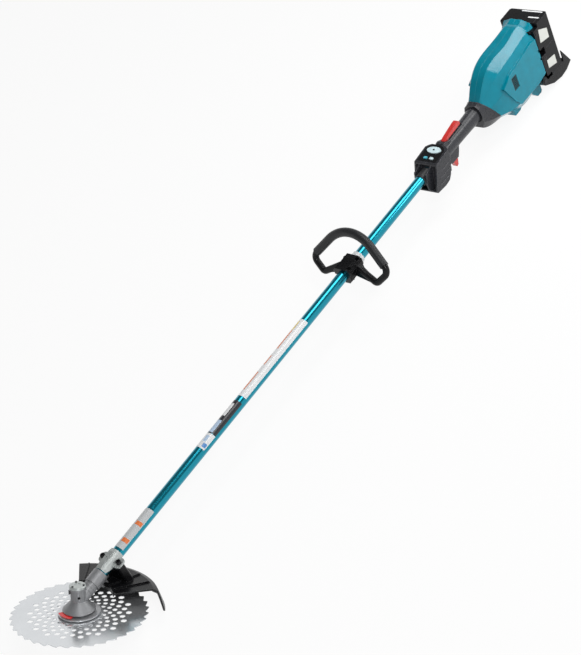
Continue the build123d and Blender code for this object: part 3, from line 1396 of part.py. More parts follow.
def bumper_side_relief():
    """Clearance of the bumper's arms round the housing's side panels."""
    x0 = VENT[0]
    half = 46.0 + SIDE_PANEL_RISE
    return slab([(x0, 60), (HOUSING_REAR + 0.3, 60), (HOUSING_REAR + 0.3, -44.3),
                 (HOUSING_REAR - 30, -50.3), (x0, -50.3)], -half - 5, half + 5)


def bumper_bolts():
    """Bolts through the bumper's two bosses."""
    low = PACK_CENTRES[1] - PACK_WIDTH / 2 - 0.8
    items = []
    for side in (-1, 1):
        y = side * (BUMPER_HALF_WIDTH + 2.6)
        items.append(Pos(HOUSING_REAR - 13, y, low + 7) * Rot(90, 0, 0) * Cylinder(5.0, 1.2))
    return group(*items)


# ---------------------------------------------------------------- build and export
def build():
    """Every node of the machine by name, in the shaft drawing."""
    box = box_body()
    grip = grip_body()
    housing = housing_body()
    collar = collar_body()
    panel_seat = Pos(0, 0, 0) * display_panel()
    box = box - panel_seat - panel_cut(10, BUTTON_GAP)
    upper, lower = PACK_CENTRES
    return {
        "blade": blade(),
        "receiver_washer": receiver_washer(),
        "clamp_washer": clamp_washer(),
        "ground_cup": ground_cup(),
        "blade_nut": blade_nut(),
        "spindle": spindle(),
        "bevel_gear": bevel_gear(),
        "bevel_pinion": bevel_pinion(),
        "spindle_bearings": spindle_bearings(),
        "pinion_bearings": pinion_bearings(),
        "gear_case": gear_case(),
        "case_cap": case_cap(),
        "case_bolts": case_bolts(),
        "main_pipe": main_pipe(),
        "drive_shaft": drive_shaft(),
        "shaft_bushes": shaft_bushes(),
        "guard_shell": guard_shell(),
        "guard_bracket": guard_bracket(),
        "guard_bolts": guard_bolts(),
        "handle_loop": handle_loop(),
        "handle_grip": handle_grip(),
        "handle_cap": handle_cap(),
        "handle_bolts": handle_bolts(),
        "handle_spacer": handle_spacer(),
        "box_left": split_y(box, -1),
        "box_right": split_y(box, 1),
        "pipe_boot": pipe_boot(),
        "display_panel": display_panel(),
        "power_button": power_button(),
        "mode_button": small_button(1),
        "reverse_button": small_button(-1),
        "control_board": control_board(),
        "grip_left": split_y(grip, -1),
        "grip_right": split_y(grip, 1),
        "trigger": trigger(),
        "lock_off_lever": lock_off_lever(),
        "hinge_pins": hinge_pins(),
        "collar_left": split_y(collar, -1),
        "collar_right": split_y(collar, 1),
        "housing_left": split_y(housing, -1),
        "housing_right": split_y(housing, 1),
        "vent_grilles": vent_grilles(),
        "housing_screws": housing_screws(),
        "motor_mount": motor_mount(),
        "motor_stator": motor_stator(),
        "motor_rotor": motor_rotor(),
        "motor_bearings": motor_bearings(),
        "cooling_fan": cooling_fan(),
        "shaft_coupling": shaft_coupling(),
        "motor_controller": motor_controller(),
        "battery_mount": battery_mount(),
        "pack_upper": pack_case(upper),
        "pack_lower": pack_case(lower),
        "latch_upper": pack_latch(upper),
        "latch_lower": pack_latch(lower),
        "bumper": bumper(),
        "bumper_bolts": bumper_bolts(),
    }


os.makedirs("parts", exist_ok=True)
for name, shape in build().items():
    export_step(place(shape), f"parts/{name}.step")
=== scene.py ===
# %% [markdown]
# # Cordless brush cutter
# The real machine is a tube with a saw blade at one end, and a motor with two battery
# packs at the other. Its solids and joints come with the frame. They could be built
# again here as meshes, but a second copy would soon differ from the first, so they are
# used as they are. This lesson adds what a solid can't carry: the finish of every
# surface, the thin bare labels, the light and the camera.

import json
from math import cos, radians, sin

import bmesh
import bpy
from mathutils import Matrix, Vector


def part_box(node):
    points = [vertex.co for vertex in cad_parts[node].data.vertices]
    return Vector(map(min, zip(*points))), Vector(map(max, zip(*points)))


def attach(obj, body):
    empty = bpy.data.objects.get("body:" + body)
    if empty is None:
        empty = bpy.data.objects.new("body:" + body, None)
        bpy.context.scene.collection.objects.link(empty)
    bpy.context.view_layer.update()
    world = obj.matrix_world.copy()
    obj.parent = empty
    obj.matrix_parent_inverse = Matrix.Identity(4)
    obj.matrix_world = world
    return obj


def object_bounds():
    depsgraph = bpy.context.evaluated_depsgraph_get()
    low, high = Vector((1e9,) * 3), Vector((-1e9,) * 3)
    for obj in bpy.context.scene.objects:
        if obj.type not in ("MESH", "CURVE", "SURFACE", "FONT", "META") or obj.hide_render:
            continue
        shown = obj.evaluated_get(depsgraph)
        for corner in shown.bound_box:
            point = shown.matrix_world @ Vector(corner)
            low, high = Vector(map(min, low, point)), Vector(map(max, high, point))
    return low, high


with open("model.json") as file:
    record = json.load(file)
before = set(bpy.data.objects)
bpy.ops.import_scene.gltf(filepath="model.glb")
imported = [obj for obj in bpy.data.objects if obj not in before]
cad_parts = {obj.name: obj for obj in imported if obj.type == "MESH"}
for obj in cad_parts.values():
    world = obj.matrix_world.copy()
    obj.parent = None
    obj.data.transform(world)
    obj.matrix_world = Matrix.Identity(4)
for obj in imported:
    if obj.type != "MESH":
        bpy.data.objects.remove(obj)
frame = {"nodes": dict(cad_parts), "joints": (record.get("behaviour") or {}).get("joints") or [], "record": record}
nodes = frame["nodes"]
cad_low, cad_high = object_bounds()
MM = 0.001
print("nodes", len(nodes), "size", [round(v, 3) for v in cad_high - cad_low])

# %% [markdown]
# ## Arithmetic on material sockets
# A finish is a formula: a pattern, times another, between two limits. It could be wired
# by hand, one Math node at a time, but then nobody can read the formula. So `Socket`
# stands for one output, and each +, - or * on it adds the Math node. The reflected forms
# let a plain number stand first, as in `1.0 - turn`.

# %% Socket
class Socket:
    """An output of a node tree that plain arithmetic works on."""

    def __init__(self, owner, output):
        self.owner = owner
        self.output = output

    def math(self, operation, first, second):
        return self.owner.node("Math", {"operation": operation}, first, second)

    def __add__(self, other):
        return self.math("ADD", self, other)

    def __radd__(self, other):
        return self.math("ADD", other, self)

    def __sub__(self, other):
        return self.math("SUBTRACT", self, other)

    def __rsub__(self, other):
        return self.math("SUBTRACT", other, self)

    def __mul__(self, other):
        return self.math("MULTIPLY", self, other)

    def __rmul__(self, other):
        return self.math("MULTIPLY", other, self)

    def spread(self, low, high, start=0.0, end=1.0):
        """The value carried from low..high to start..end, and held there beyond."""
        return self.owner.node("MapRange", {}, self, low, high, start, end)

    def stretched(self, start=0.0, end=1.0):
        """A noise, which mostly keeps between 0.3 and 0.7, stretched to start..end."""
        return self.spread(0.3, 0.7, start, end)


print("sockets add, subtract and multiply")

# %% [markdown]
# ## One way to add any node
# Materials and the sky are both node trees with one main shader. `NodeTree` holds such a
# tree. `set` fills an input of the shader, and `node` adds any other node: what kind it
# is, then its settings, then the values or links of its sockets. Settings come first,
# because some of them change which sockets the node has.

# %% NodeTree
class NodeTree:
    """A node tree with one main shader."""

    def __init__(self, tree, shader):
        self.tree = tree
        self.shader = tree.nodes[shader]

    def fill(self, socket, value):
        """Links a socket, or gives it a constant."""
        if isinstance(value, Socket):
            self.tree.links.new(value.output, socket)
        elif value is not None:
            socket.default_value = value

    def set(self, name, value):
        """Puts a constant or a link on an input of the shader."""
        self.fill(self.shader.inputs[name], value)
        return self

    def node(self, kind, settings, *values, pick=0, **named):
        """A new node: its settings first, then its sockets in order or by name."""
        made = self.tree.nodes.new("ShaderNode" + kind)
        for key, value in settings.items():
            setattr(made, key, value)
        for index, value in enumerate(values):
            self.fill(made.inputs[index], value)
        for key, value in named.items():
            self.fill(made.inputs[key], value)
        return Socket(self, made.outputs[pick])

    def rays(self, *kinds):
        """1 for rays of the named kinds, 0 for the others."""
        return sum(self.node("LightPath", {}, pick=kind) for kind in kinds)


print("node trees ready")

# %% [markdown]
# ## Patterns that make a surface look real
# No real surface is even. Plastic has a fine grain from its mould and a tone that drifts,
# and edges get rubbed bright. Image textures could show this, but they stretch and blur.
# Noise that is worked out from the place on the piece stays sharp at every distance. A
# Bevel node rounds the normals at edges, so that sharp solids catch light as moulded ones
# do, and comparing its normal with the true one finds the edges. Those edges are painted
# lighter, which is partly rubbed wear and partly a painted highlight.

# %% Paint
BEVEL_SAMPLES = 4
COLOUR_ENDS = 6
COLOUR_RESULT = 2


class Paint(NodeTree):
    """A material with one Principled shader, and the patterns that feed it."""

    def __init__(self, name, colour, roughness, metallic=0.0, coat=0.0):
        self.material = bpy.data.materials.new(name)
        self.material.use_nodes = True
        super().__init__(self.material.node_tree, "Principled BSDF")
        self.set("Base Color", (*colour, 1.0))
        self.set("Roughness", roughness)
        self.set("Metallic", metallic)
        self.set("Coat Weight", coat)

    def noise(self, scale, detail=3.0, stretch=(1.0, 1.0, 1.0)):
        """Fractal noise from 0 to 1 with a grain of about 1 / scale metres."""
        point = self.node("TexCoord", {}, pick="Object")
        point = self.node("Mapping", {}, point, Scale=stretch)
        return self.node("TexNoise", {}, point, Scale=scale, Detail=detail)

    def mix(self, share, first, second):
        """Colour that goes from the first to the second as share goes from 0 to 1."""
        ends = [end if isinstance(end, Socket) else (*end, 1.0) for end in (first, second)]
        skipped = [None] * (COLOUR_ENDS - 1)
        return self.node("Mix", {"data_type": "RGBA"}, share, *skipped, *ends, pick=COLOUR_RESULT)

    def rounded(self, radius):
        """Normals as if every edge had that radius in metres."""
        return self.node("Bevel", {"samples": BEVEL_SAMPLES}, radius)

    def worn_and_highlit_edges(self, radius=0.0012):
        """1 on outer and inner edges, 0 on the flats, from how far a rounded normal turns."""
        true = self.node("NewGeometry", {}, pick="Normal")
        dot = {"operation": "DOT_PRODUCT"}
        turn = self.node("VectorMath", dot, self.rounded(radius), true, pick="Value")
        return (1.0 - turn).spread(0.04, 0.25)

    def relief(self, height, depth, edge):
        """Bumps of that depth in metres, over edges that are rounded by edge metres."""
        bump = self.node("Bump", {}, Strength=1.0, Distance=depth, Height=height,
                         Normal=self.rounded(edge))
        return self.set("Normal", bump)


print("paint ready")

# %% [markdown]
# ## Plastics and rubber
# Housing, grip, box, guard and packs are moulded plastic, and the sleeve of the loop
# handle is soft rubber. All come out of a mould whose steel was eroded by sparks, so one
# function makes them and their grain, gloss and lighter edges differ. Gloss teal gets a
# shallow grain and a low roughness. Dark parts and the teal get lighter edges: partly
# rubbed wear where hands and cases rub, partly a painted highlight along the edges.

# %% Plastics and rubber
TEAL = (0.0, 0.205, 0.28)
BLACK = (0.006, 0.006, 0.007)


def moulded(name, colour, roughness, grain=0.00004, coat=0.0, edge=0.0006, shine=0.5, wear_and_highlight=None):
    """Moulded plastic: a fine spark-eroded grain, an uneven tone, and lighter edges that are partly rubbed wear
    and partly painted highlight.
    """
    paint = Paint(name, colour, roughness, coat=coat)
    paint.set("Specular IOR Level", shine)
    darker = tuple(channel * 0.86 for channel in colour)
    flat = paint.mix(paint.noise(60.0, 4.0).stretched(), darker, colour)
    if wear_and_highlight:
        # Edges painted lighter: partly rubbed wear, partly a painted highlight.
        rubbed_and_highlit = paint.worn_and_highlit_edges() * paint.noise(140.0).spread(0.25, 0.6)
        flat = paint.mix(rubbed_and_highlit, flat, wear_and_highlight)
    paint.set("Base Color", flat)
    paint.set("Roughness", paint.noise(220.0).stretched(roughness - 0.03, roughness + 0.04))
    return paint.relief(paint.noise(2600.0, 2.0), grain, edge)


def glossy_teal():
    """Gloss teal housing plastic with a clear, slightly wavy surface."""
    # Lighter teal along the edges: partly wear, partly a painted highlight.
    wear_and_highlight = (0.02, 0.33, 0.42)
    return moulded("teal_plastic", TEAL, 0.13, 0.00001, edge=0.0015, shine=0.3, wear_and_highlight=wear_and_highlight)


def soft_rubber():
    """Soft sleeve: matt, with a fine even grain."""
    return moulded("rubber", (0.016, 0.017, 0.019), 0.4, 0.00008, shine=0.35)


def bright_plastic(name, colour):
    """Smooth small moulding such as a lever or a button."""
    return moulded(name, colour, 0.3, 0.00001, coat=0.3)


print("plastics ready")

# %% [markdown]
# ## Metals
# The tube is drawn through a die and then anodised teal, which leaves fine lines along
# it under a clear skin: noise stretched along x, under a thin coat. The blade is ground
# flat, so it has a fine even grain and mirrors softly. The head is cast alloy, and its
# washers and bolts are plain steel, which one function makes in several tones.

# %% Metals
def anodised_tube():
    """Teal anodised tube with fine drawing lines along its length."""
    paint = Paint("teal_metal", (0.0, 0.27, 0.37), 0.2, metallic=0.92, coat=0.3)
    paint.set("Coat Roughness", 0.12)
    paint.set("Coat IOR", 1.6)
    lines = paint.noise(1500.0, 2.0, (0.004, 1.0, 1.0))
    low, high = (0.002, 0.255, 0.355), (0.003, 0.28, 0.385)
    paint.set("Base Color", paint.mix(lines.stretched(), low, high))
    return paint.set("Roughness", lines.stretched(0.18, 0.22))


def ground_blade():
    """Ground saw blade: a fine even grain and a tone that drifts a little."""
    paint = Paint("blade_steel", (0.80, 0.82, 0.84), 0.2, metallic=0.8)
    fine = paint.noise(700.0, 3.0)
    cloud = paint.noise(18.0, 3.0)
    paint.set("Base Color", paint.mix(cloud, (0.66, 0.68, 0.70), (0.74, 0.76, 0.78)))
    paint.set("Roughness", fine.stretched(0.16, 0.26))
    return paint.relief(fine, 0.000004, 0.0003)


def plain_metal(name, low, high, roughness, grain=0.00001, scale=500.0, metallic=1.0):
    """Metal whose tone and roughness vary a little over the surface."""
    paint = Paint(name, low, roughness, metallic=metallic)
    grainy = paint.noise(scale, 4.0)
    paint.set("Base Color", paint.mix(grainy.stretched(), low, high))
    paint.set("Roughness", grainy.stretched(roughness - 0.06, roughness + 0.08))
    return paint.relief(grainy, grain, 0.0004)


print("metals ready")

# %% [markdown]
# ## A finish for every node
# The record names a material slot for each node, such as rubber or cast metal. Each node
# could be painted by hand, but a dictionary from slot to finish can't miss one. Two nodes
# share a slot with others and still look different: the vents, whose dark teal is painted
# shade for the shadow they lie in, and the small blue button. Edges sharper than 28
# degrees stay crisp, and the rest is smooth.

# %% Finishes by slot
# The lighter edge colours of grey and pack plastic are partly rubbed wear and partly painted highlight.
GREY, GREY_WEAR_AND_HIGHLIGHT = (0.028, 0.029, 0.034), (0.2, 0.2, 0.22)
PACK, PACK_WEAR_AND_HIGHLIGHT = (0.004, 0.004, 0.005), (0.09, 0.09, 0.1)
CAST = ((0.24, 0.245, 0.255), (0.34, 0.345, 0.355))
ALLOY = ((0.46, 0.49, 0.48), (0.56, 0.59, 0.58))
WASHER_STEEL = ((0.62, 0.63, 0.65), (0.74, 0.75, 0.77))
DARK_STEEL = ((0.03, 0.03, 0.032), (0.06, 0.06, 0.063))
GEAR_STEEL = ((0.4, 0.4, 0.41), (0.5, 0.5, 0.51))
finishes = {
    "teal_metal": anodised_tube(),
    "teal_plastic": glossy_teal(),
    # Black plastic's lighter edges: partly rubbed wear, partly a painted highlight.
    "black_plastic": moulded("black_plastic", BLACK, 0.28, shine=0.22, wear_and_highlight=(0.05, 0.05, 0.053)),
    "grey_plastic": moulded("grey_plastic", GREY, 0.28, shine=0.4, wear_and_highlight=GREY_WEAR_AND_HIGHLIGHT),
    "pack_plastic": moulded("pack_plastic", PACK, 0.3, shine=0.2, wear_and_highlight=PACK_WEAR_AND_HIGHLIGHT),
    "rubber": soft_rubber(),
    "red_plastic": bright_plastic("red_plastic", (0.62, 0.03, 0.025)),
    "light_plastic": bright_plastic("light_plastic", (0.75, 0.77, 0.78)),
    "button_plastic": bright_plastic("button_plastic", (0.66, 0.82, 0.86)),
    "cast": plain_metal("cast", *CAST, 0.42, 0.00006, 900.0, 0.5),
    "alloy": plain_metal("alloy", *ALLOY, 0.36, 0.00001, 400.0, 0.6),
    "blade_steel": ground_blade(),
    "washer_steel": plain_metal("washer_steel", *WASHER_STEEL, 0.34, metallic=0.7),
    "dark_steel": plain_metal("dark_steel", *DARK_STEEL, 0.35),
    "gear_steel": plain_metal("gear_steel", *GEAR_STEEL, 0.3),
    "board": moulded("board", (0.01, 0.12, 0.05), 0.35),
}
special = {
    # The vents' dark teal is painted shade: the housing's teal darkened as if lying in shadow.
    "vent_grilles": moulded("vent_painted_shade", (0.0, 0.045, 0.06), 0.4),
    "mode_button": bright_plastic("mode_blue", (0.10, 0.50, 0.62)),
}
print("finishes", len(finishes) + len(special))

# %% Paint every node
CRISP_EDGE = radians(28)
slots = {part["node"]: part["material_slot"] for part in frame["record"]["subparts"]}
for name, node in nodes.items():
    node.data.materials.clear()
    node.data.materials.append(special.get(name, finishes[slots[name]]).material)
    node.data.shade_smooth()
    node.data.set_sharp_from_angle(angle=CRISP_EDGE)
print("painted", len(nodes))

# %% [markdown]
# ## Places on the machine
# A maker measures a long tool from one end. Here each place along the shaft is a distance
# in millimetres behind the point where the blade's spindle crosses the tube's axis. That
# point comes from the blade's joint and the tube's own box, so labels follow the frame.

# %% Shaft and spindle
tube_low, tube_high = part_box("main_pipe")
axis_z = (tube_low.z + tube_high.z) / 2
tube_r = (tube_high.z - tube_low.z) / 2
joints = {joint["name"]: joint for joint in frame["joints"]}
spindle_at = Vector(joints["blade_spin"]["pos_m"])
spindle_dir = Vector(joints["blade_spin"]["axis"])
SIDEWAYS = Vector((0.0, 1.0, 0.0))


def along(x):
    """Place on the machine from a distance in millimetres behind the spindle crossing."""
    return spindle_at.x + x * MM


print("tube radius", round(tube_r, 4), "axis height", round(axis_z, 4))
print("spindle crossing at", round(spindle_at.x, 4), "leaning", [round(v, 3) for v in spindle_dir])

# %% [markdown]
# ## Pieces that ride on a body
# A label is a very thin mesh of its own, so that it can be printed on one colour and the
# plastic below keeps another. It could be a second material on the node's faces, but
# those are cut where the solid needs them and not where a label ends. `mesh_piece` hands
# each piece to the body that carries it, so that it moves with the joint.

# %% Foil and mesh
def foil_finish(name, colour):
    """Printed foil with a faint unevenness."""
    paint = Paint(name, colour, 0.35, coat=0.3)
    darker = tuple(channel * 0.96 for channel in colour)
    paint.set("Base Color", paint.mix(paint.noise(90.0, 4.0), darker, colour))
    return paint.material


def new_object(name, data):
    """An object in the scene for a mesh, lamp or camera."""
    made = bpy.data.objects.new(name, data)
    bpy.context.scene.collection.objects.link(made)
    return made


def mesh_piece(name, points, faces, material, body):
    """A mesh that rides on a body."""
    mesh = bpy.data.meshes.new(name)
    mesh.from_pydata([tuple(p) for p in points], [], faces)
    mesh.validate()
    mesh.update()
    mesh.materials.append(material)
    piece = new_object(name, mesh)
    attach(piece, body)
    return piece


white_foil = foil_finish("foil_white", (0.80, 0.81, 0.82))
silver_foil = foil_finish("foil_silver", (0.55, 0.57, 0.58))
orange_foil = foil_finish("foil_orange", (0.80, 0.20, 0.05))
yellow_foil = foil_finish("foil_yellow", (0.85, 0.62, 0.08))
dark_foil = foil_finish("foil_dark", (0.02, 0.02, 0.025))
blue_foil = foil_finish("foil_blue", (0.10, 0.28, 0.62))
pale_blue_foil = foil_finish("foil_pale_blue", (0.48, 0.62, 0.80))
print("foils in seven colours")

# %% [markdown]
# ## Bare labels on the tube
# Machines of this kind carry long printed foils, wrapped over the top of the tube. A flat
# plate can't follow the round tube, so each foil is a strip of an arc, a quarter of a
# millimetre outside the tube's radius. Coloured fields lie on top of it, a little higher
# still, and stand for its print. There are no words.

# %% Curved foil
FOIL_LIFT = 0.00025
PRINT_LIFT = 0.0003
WRAP = 69.0  # degrees down each side of the tube
FOIL_COLUMNS = 16  # faces round a foil
FOIL_ROW = 20.0  # millimetres of foil to one row of faces


def tube_foil(name, x0, x1, angle0, angle1, material, lift=PRINT_LIFT):
    """Curved foil on the tube between two stations and two angles from the top towards -y."""
    rows = max(2, int((x1 - x0) / FOIL_ROW))
    radius = tube_r + lift
    points = []
    for i in range(rows + 1):
        x = along(x0 + (x1 - x0) * i / rows)
        for k in range(FOIL_COLUMNS + 1):
            angle = radians(angle0 + (angle1 - angle0) * k / FOIL_COLUMNS)
            points.append((x, -radius * sin(angle), axis_z + radius * cos(angle)))
    faces = []
    for i in range(rows):
        for k in range(FOIL_COLUMNS):
            corner = i * (FOIL_COLUMNS + 1) + k
            beside = corner + FOIL_COLUMNS + 1
            faces.append((corner, beside, beside + 1, corner + 1))
    foil = mesh_piece(name, points, faces, material, "frame")
    foil.data.shade_smooth()
    return foil


def tube_label(name, x0, x1, material):
    """Foil wrapped over the top of the tube, equally far down on both sides."""
    return tube_foil(name, x0, x1, -WRAP, WRAP, material, FOIL_LIFT)


print("foil strips ready")

# %% Tube labels
LINE_ANGLES = (-27, -8)
FIELD_ANGLES = (-10, 60)
tube_label("long_label", 517, 733, white_foil)
for count, (x0, x1) in enumerate(((533, 582), (603, 628), (648, 700))):
    tube_foil(f"long_label_line_{count}", x0, x1, *LINE_ANGLES, orange_foil)
tube_foil("long_label_line_3", 701, 727, *LINE_ANGLES, yellow_foil)
tube_label("head_label", 123, 219, silver_foil)
for count, (x0, x1) in enumerate(((137, 146), (179, 187.5))):
    tube_foil(f"head_label_field_{count}", x0, x1, *FIELD_ANGLES, orange_foil)
tube_label("type_label", 378, 415, white_foil)
tube_foil("type_label_field", 382, 391, 20, 60, blue_foil)
tube_foil("type_label_band", 394, 409, -10, 25, pale_blue_foil)
tube_label("dark_label", 416, 504, dark_foil)
tube_foil("dark_label_field", 418, 450, -40, 22, pale_blue_foil)
tube_foil("dark_label_band", 462, 495, -40, 12, white_foil)

# %% [markdown]
# ## Bare labels and bars on the packs
# Each pack has a plain pale label on its end, and the upper one two thin printed bars on
# top. These faces are flat, so a thin closed plate will do, and its edge catches light
# as a real sticker's does. Each plate rides on its own pack and slides out with it.

# %% Flat plates
def plate(name, corners, outward, thickness, material, body):
    """Thin closed plate on a face: corners as points, outward as the face's direction."""
    base = [Vector(corner) for corner in corners]
    points = base + [point + Vector(outward) * thickness for point in base]
    count = len(base)
    bottom = list(range(count))[::-1]
    top = list(range(count, 2 * count))
    sides = [(k, (k + 1) % count, count + (k + 1) % count, count + k) for k in range(count)]
    piece = mesh_piece(name, points, [bottom, top, *sides], material, body)
    fold = bmesh.new()
    fold.from_mesh(piece.data)
    bmesh.ops.recalc_face_normals(fold, faces=fold.faces)
    fold.to_mesh(piece.data)
    fold.free()
    return piece


print("plates ready")

# %% Pack labels
LABEL_THICKNESS = 0.0003
BAR_THICKNESS = 0.0002
label_foil = foil_finish("foil_label", (0.56, 0.57, 0.53))
# Corners in millimetres, behind the spindle crossing and above the tube's axis.
LABELS = {
    "pack_upper": ("pack_a", ((1625.8, 61.0), (1655.0, 45.4), (1653.6, 20.9), (1620.4, 28.6))),
    "pack_lower": ("pack_b", ((1622.6, -22.0), (1653.0, -27.4), (1652.3, -50.6), (1621.4, -42.6))),
}
for pack, (body, outline) in LABELS.items():
    end_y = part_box(pack)[0].y
    corners = [(along(x), end_y, axis_z + z * MM) for x, z in outline]
    plate(f"{pack}_label", corners, -SIDEWAYS, LABEL_THICKNESS, label_foil, body)

# From and to behind the crossing, then from and to sideways, in millimetres.
BARS = ((1666.5, 1670.5, -40, 14), (1646.0, 1650.0, -42, -14))
pack_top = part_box("pack_upper")[1].z
for count, (x0, x1, y0, y1) in enumerate(BARS):
    outline = ((x0, y0), (x1, y0), (x1, y1), (x0, y1))
    corners = [(along(x), y * MM, pack_top) for x, y in outline]
    plate(f"pack_upper_bar_{count}", corners, (0.0, 0.0, 1.0), BAR_THICKNESS, white_foil, "pack_a")
print("pack labels", len(LABELS), "bars", len(BARS))

# %% [markdown]
# ## Coloured arc over the blade washer
# A red field marks one side of the washer over the blade. Its outline follows the washer,
# so it is worked out from radii and angles round the spindle, and it turns with the blade.
# It stands level with the top of the washer's hub, which is about 3 mm above the rim
# under it. The washer is dished, so a closer fit needs an arc that follows the dish.

# %% Washer arc
ARC_RADII = (0.0300, 0.0388)
ARC_START, ARC_SWEEP, ARC_STEPS = 150, 56, 14
ARC_THICKNESS = 0.0003
across = Vector((spindle_dir.z, 0.0, -spindle_dir.x))


def head_point(radius, azimuth, height):
    """Place in the head from a radius, an angle round the spindle and a height along it."""
    turn = radians(azimuth)
    return spindle_at + (across * cos(turn) + SIDEWAYS * sin(turn)) * radius + spindle_dir * height


red_foil = foil_finish("foil_red", (0.75, 0.02, 0.02))
washer = nodes["receiver_washer"].data.vertices
arc_height = max((vertex.co - spindle_at).dot(spindle_dir) for vertex in washer)
turns = [ARC_START + ARC_SWEEP * k / ARC_STEPS for k in range(ARC_STEPS + 1)]
outer = [head_point(ARC_RADII[1], turn, arc_height) for turn in turns]
inner = [head_point(ARC_RADII[0], turn, arc_height) for turn in reversed(turns)]
plate("washer_arc", outer + inner, spindle_dir, ARC_THICKNESS, red_foil, "cutter")
print("arc height", round(arc_height, 4))

# %% [markdown]
# ## Dot on the main button
# The oval main button has a small dark dot in its middle. It could be a hole in the
# solid, but a print is simpler as a thin disc of its own. The button's joint gives the
# direction in which it faces. Its height comes from the top of the button's box, and the
# button leans by 4 degrees, so the disc stands about half a millimetre above the middle
# of the button. A ray cast down to the button would seat it closer.

# %% Button dot
DOT_RADIUS = 0.0022
DOT_THICKNESS = 0.0004
DOT_BELOW_TOP = 0.00015
DOT_CORNERS = 18
button_low, button_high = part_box("power_button")
button_mid = (button_low + button_high) / 2
panel_up = -Vector(joints["power_press"]["axis"])
dot_at = Vector((button_mid.x, button_mid.y, button_high.z - DOT_BELOW_TOP))
side = panel_up.cross(SIDEWAYS).normalized()
dot_turns = [radians(360 / DOT_CORNERS * k) for k in range(DOT_CORNERS)]
dot = [dot_at + (side * cos(turn) + SIDEWAYS * sin(turn)) * DOT_RADIUS for turn in dot_turns]
plate("power_button_dot", dot, panel_up, DOT_THICKNESS, dark_foil, "power_key")
print("dot facing", [round(v, 3) for v in panel_up])

# %% [markdown]
# ## Floor
# A machine for a catalogue stands on plain white. White could come from strong lamps, but
# then the pale parts would clip. So the lamps stay modest, and rays from the camera, from
# gloss and through glass see a floor that glows by itself. A tenth of it is left matt, and
# that share keeps the machine's shadow.

# %% Floor
FLOOR_SIZE = 30.0
FLOOR_GAP = 0.0005
FLOOR_GLOW = 0.9


def floor_finish():
    """Matt pale floor that looks white, with a soft shadow left in it."""
    paint = Paint("studio_floor", (0.92, 0.92, 0.92), 0.9)
    seen = paint.rays("Is Camera Ray", "Is Glossy Ray", "Is Transmission Ray")
    glow = paint.node("Emission", {}, (1.0, 1.0, 1.0, 1.0), 1.0)
    matt = Socket(paint, paint.shader.outputs[0])
    both = paint.node("MixShader", {}, seen.spread(0.0, 1.0, 0.0, FLOOR_GLOW), matt, glow)
    paint.fill(paint.tree.nodes["Material Output"].inputs["Surface"], both)
    return paint.material


def studio_floor(size, height):
    """Square stage plane under the machine."""
    half = size / 2
    corners = [(-half, -half, height), (half, -half, height), (half, half, height), (-half, half, height)]
    mesh = bpy.data.meshes.new("floor")
    mesh.from_pydata(corners, [], [(0, 1, 2, 3)])
    mesh.materials.append(floor_finish())
    new_object("floor", mesh)


studio_floor(FLOOR_SIZE, cad_low.z - FLOOR_GAP)
print("floor at", round(cad_low.z - FLOOR_GAP, 4))

# %% [markdown]
# ## Sky
# The room round the machine is one world shader. The camera sees plain white. Gloss sees
# white walls that fall off to a dim ceiling, because a metal tube under an even white
# room has no dark line and looks like paint. All other rays get a weak fill light.

# %% Sky
# Heights in a ray's direction, where 0 is level and 1 is straight up.
WALL_TOP, CEILING_FROM = 0.30, 0.52


class Sky(NodeTree):
    """The world's node tree."""

    def __init__(self, name):
        world = bpy.data.worlds.new(name)
        bpy.context.scene.world = world
        world.use_nodes = True
        super().__init__(world.node_tree, "Background")


def white_sky(fill, ceiling):
    """White walls to the camera and to gloss, a dim ceiling, and a weak even fill light."""
    sky = Sky("studio")
    sky.set("Color", (1.0, 1.0, 1.0, 1.0))
    direction = sky.node("TexCoord", {}, pick="Generated")
    height = sky.node("SeparateXYZ", {}, direction, pick="Z")
    walls = height.spread(WALL_TOP, CEILING_FROM, 1.0, ceiling)
    camera_ray = sky.rays("Is Camera Ray")
    gloss_ray = sky.rays("Is Glossy Ray", "Is Transmission Ray")
    others = (1.0 - camera_ray - gloss_ray) * fill
    return sky.set("Strength", camera_ray + gloss_ray * walls + others)


white_sky(fill=0.25, ceiling=0.2)
print("sky ready")

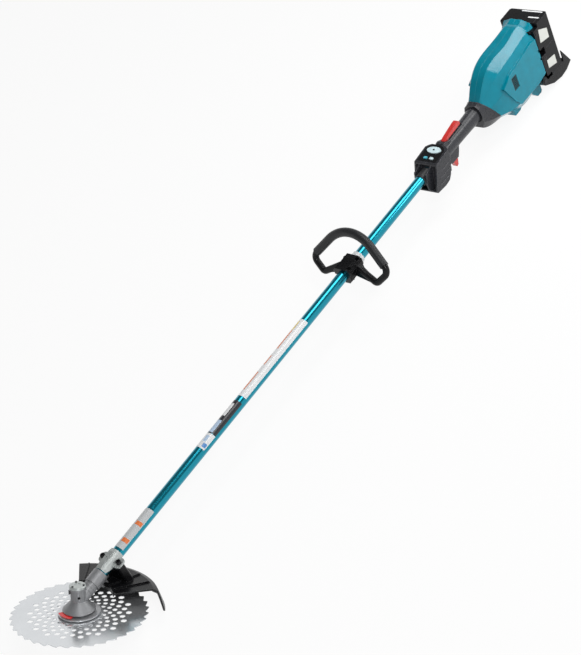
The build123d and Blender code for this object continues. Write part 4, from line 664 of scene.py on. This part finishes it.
# %% [markdown]
# ## Lamps
# Three soft rectangles light the machine. The key stands in front, high up, and shapes
# everything. The overhead lamp hangs above and behind the packs. The band is a strip close
# to the housing, where its mirror image makes the long highlight on the upper bevel. A
# point lamp would give a hard spot there, and a large one would wash the bevel out.

# %% Lamps
def aimed(right, back):
    """Rotation of a lamp or camera from its right and back directions."""
    back = back.normalized()
    up = back.cross(right).normalized()
    return Matrix((up.cross(back), up, back)).transposed().to_quaternion()


def aim(holder, place, right, back):
    """Puts a lamp or camera at a place, turned by its right and back directions."""
    holder.location = place
    holder.rotation_mode = "QUATERNION"
    holder.rotation_quaternion = aimed(Vector(right), Vector(back))


def lamp(name, place, target, size, power, long_side=(1.0, 0.0, 0.0)):
    """Soft rectangular lamp aimed at a point, with its long side in a given direction."""
    light = bpy.data.lights.new(name, "AREA")
    light.shape = "RECTANGLE"
    light.size, light.size_y = size
    light.energy = power
    aim(new_object(name, light), place, long_side, Vector(place) - Vector(target))


HOUSING_SLOPE = (0.883, 0.0, 0.469)
lamp("key", (-0.9, -2.3, 2.9), (0.0, 0.0, 0.1), (1.2, 1.0), 54)
lamp("overhead", (1.5, -0.5, 2.4), (1.0, -0.1, 0.0), (1.8, 1.3), 32)
lamp("band", (1.10, -0.5, 0.59), (0.92, 0.0, 0.31), (0.78, 0.17), 3.8, HOUSING_SLOPE)
print("lamps", len(bpy.data.lights))

# %% [markdown]
# ## Camera
# The camera stands before the blade, to one side and above, and looks back along the
# shaft, so that the long machine fits an upright frame. A long lens from over three
# metres keeps blade and packs in true proportion. Its place and two directions are given,
# because aiming at a target alone would leave out the roll.

# %% Camera
CAMERA_PLACE = (-1.5973, -2.1560, 2.2346)
CAMERA_RIGHT = (0.5663, -0.7436, -0.3554)
CAMERA_BACK = (-0.4465, -0.6393, 0.6261)
CAMERA_LENS = 92.56

camera_data = bpy.data.cameras.new("camera")
camera_data.lens = CAMERA_LENS
camera_data.sensor_width = 36.0
camera_data.sensor_fit = "AUTO"
camera = new_object("camera", camera_data)
aim(camera, CAMERA_PLACE, CAMERA_RIGHT, CAMERA_BACK)
bpy.context.scene.camera = camera
bpy.context.scene.view_settings.view_transform = "Standard"
print("camera at", [round(v, 3) for v in camera.location])
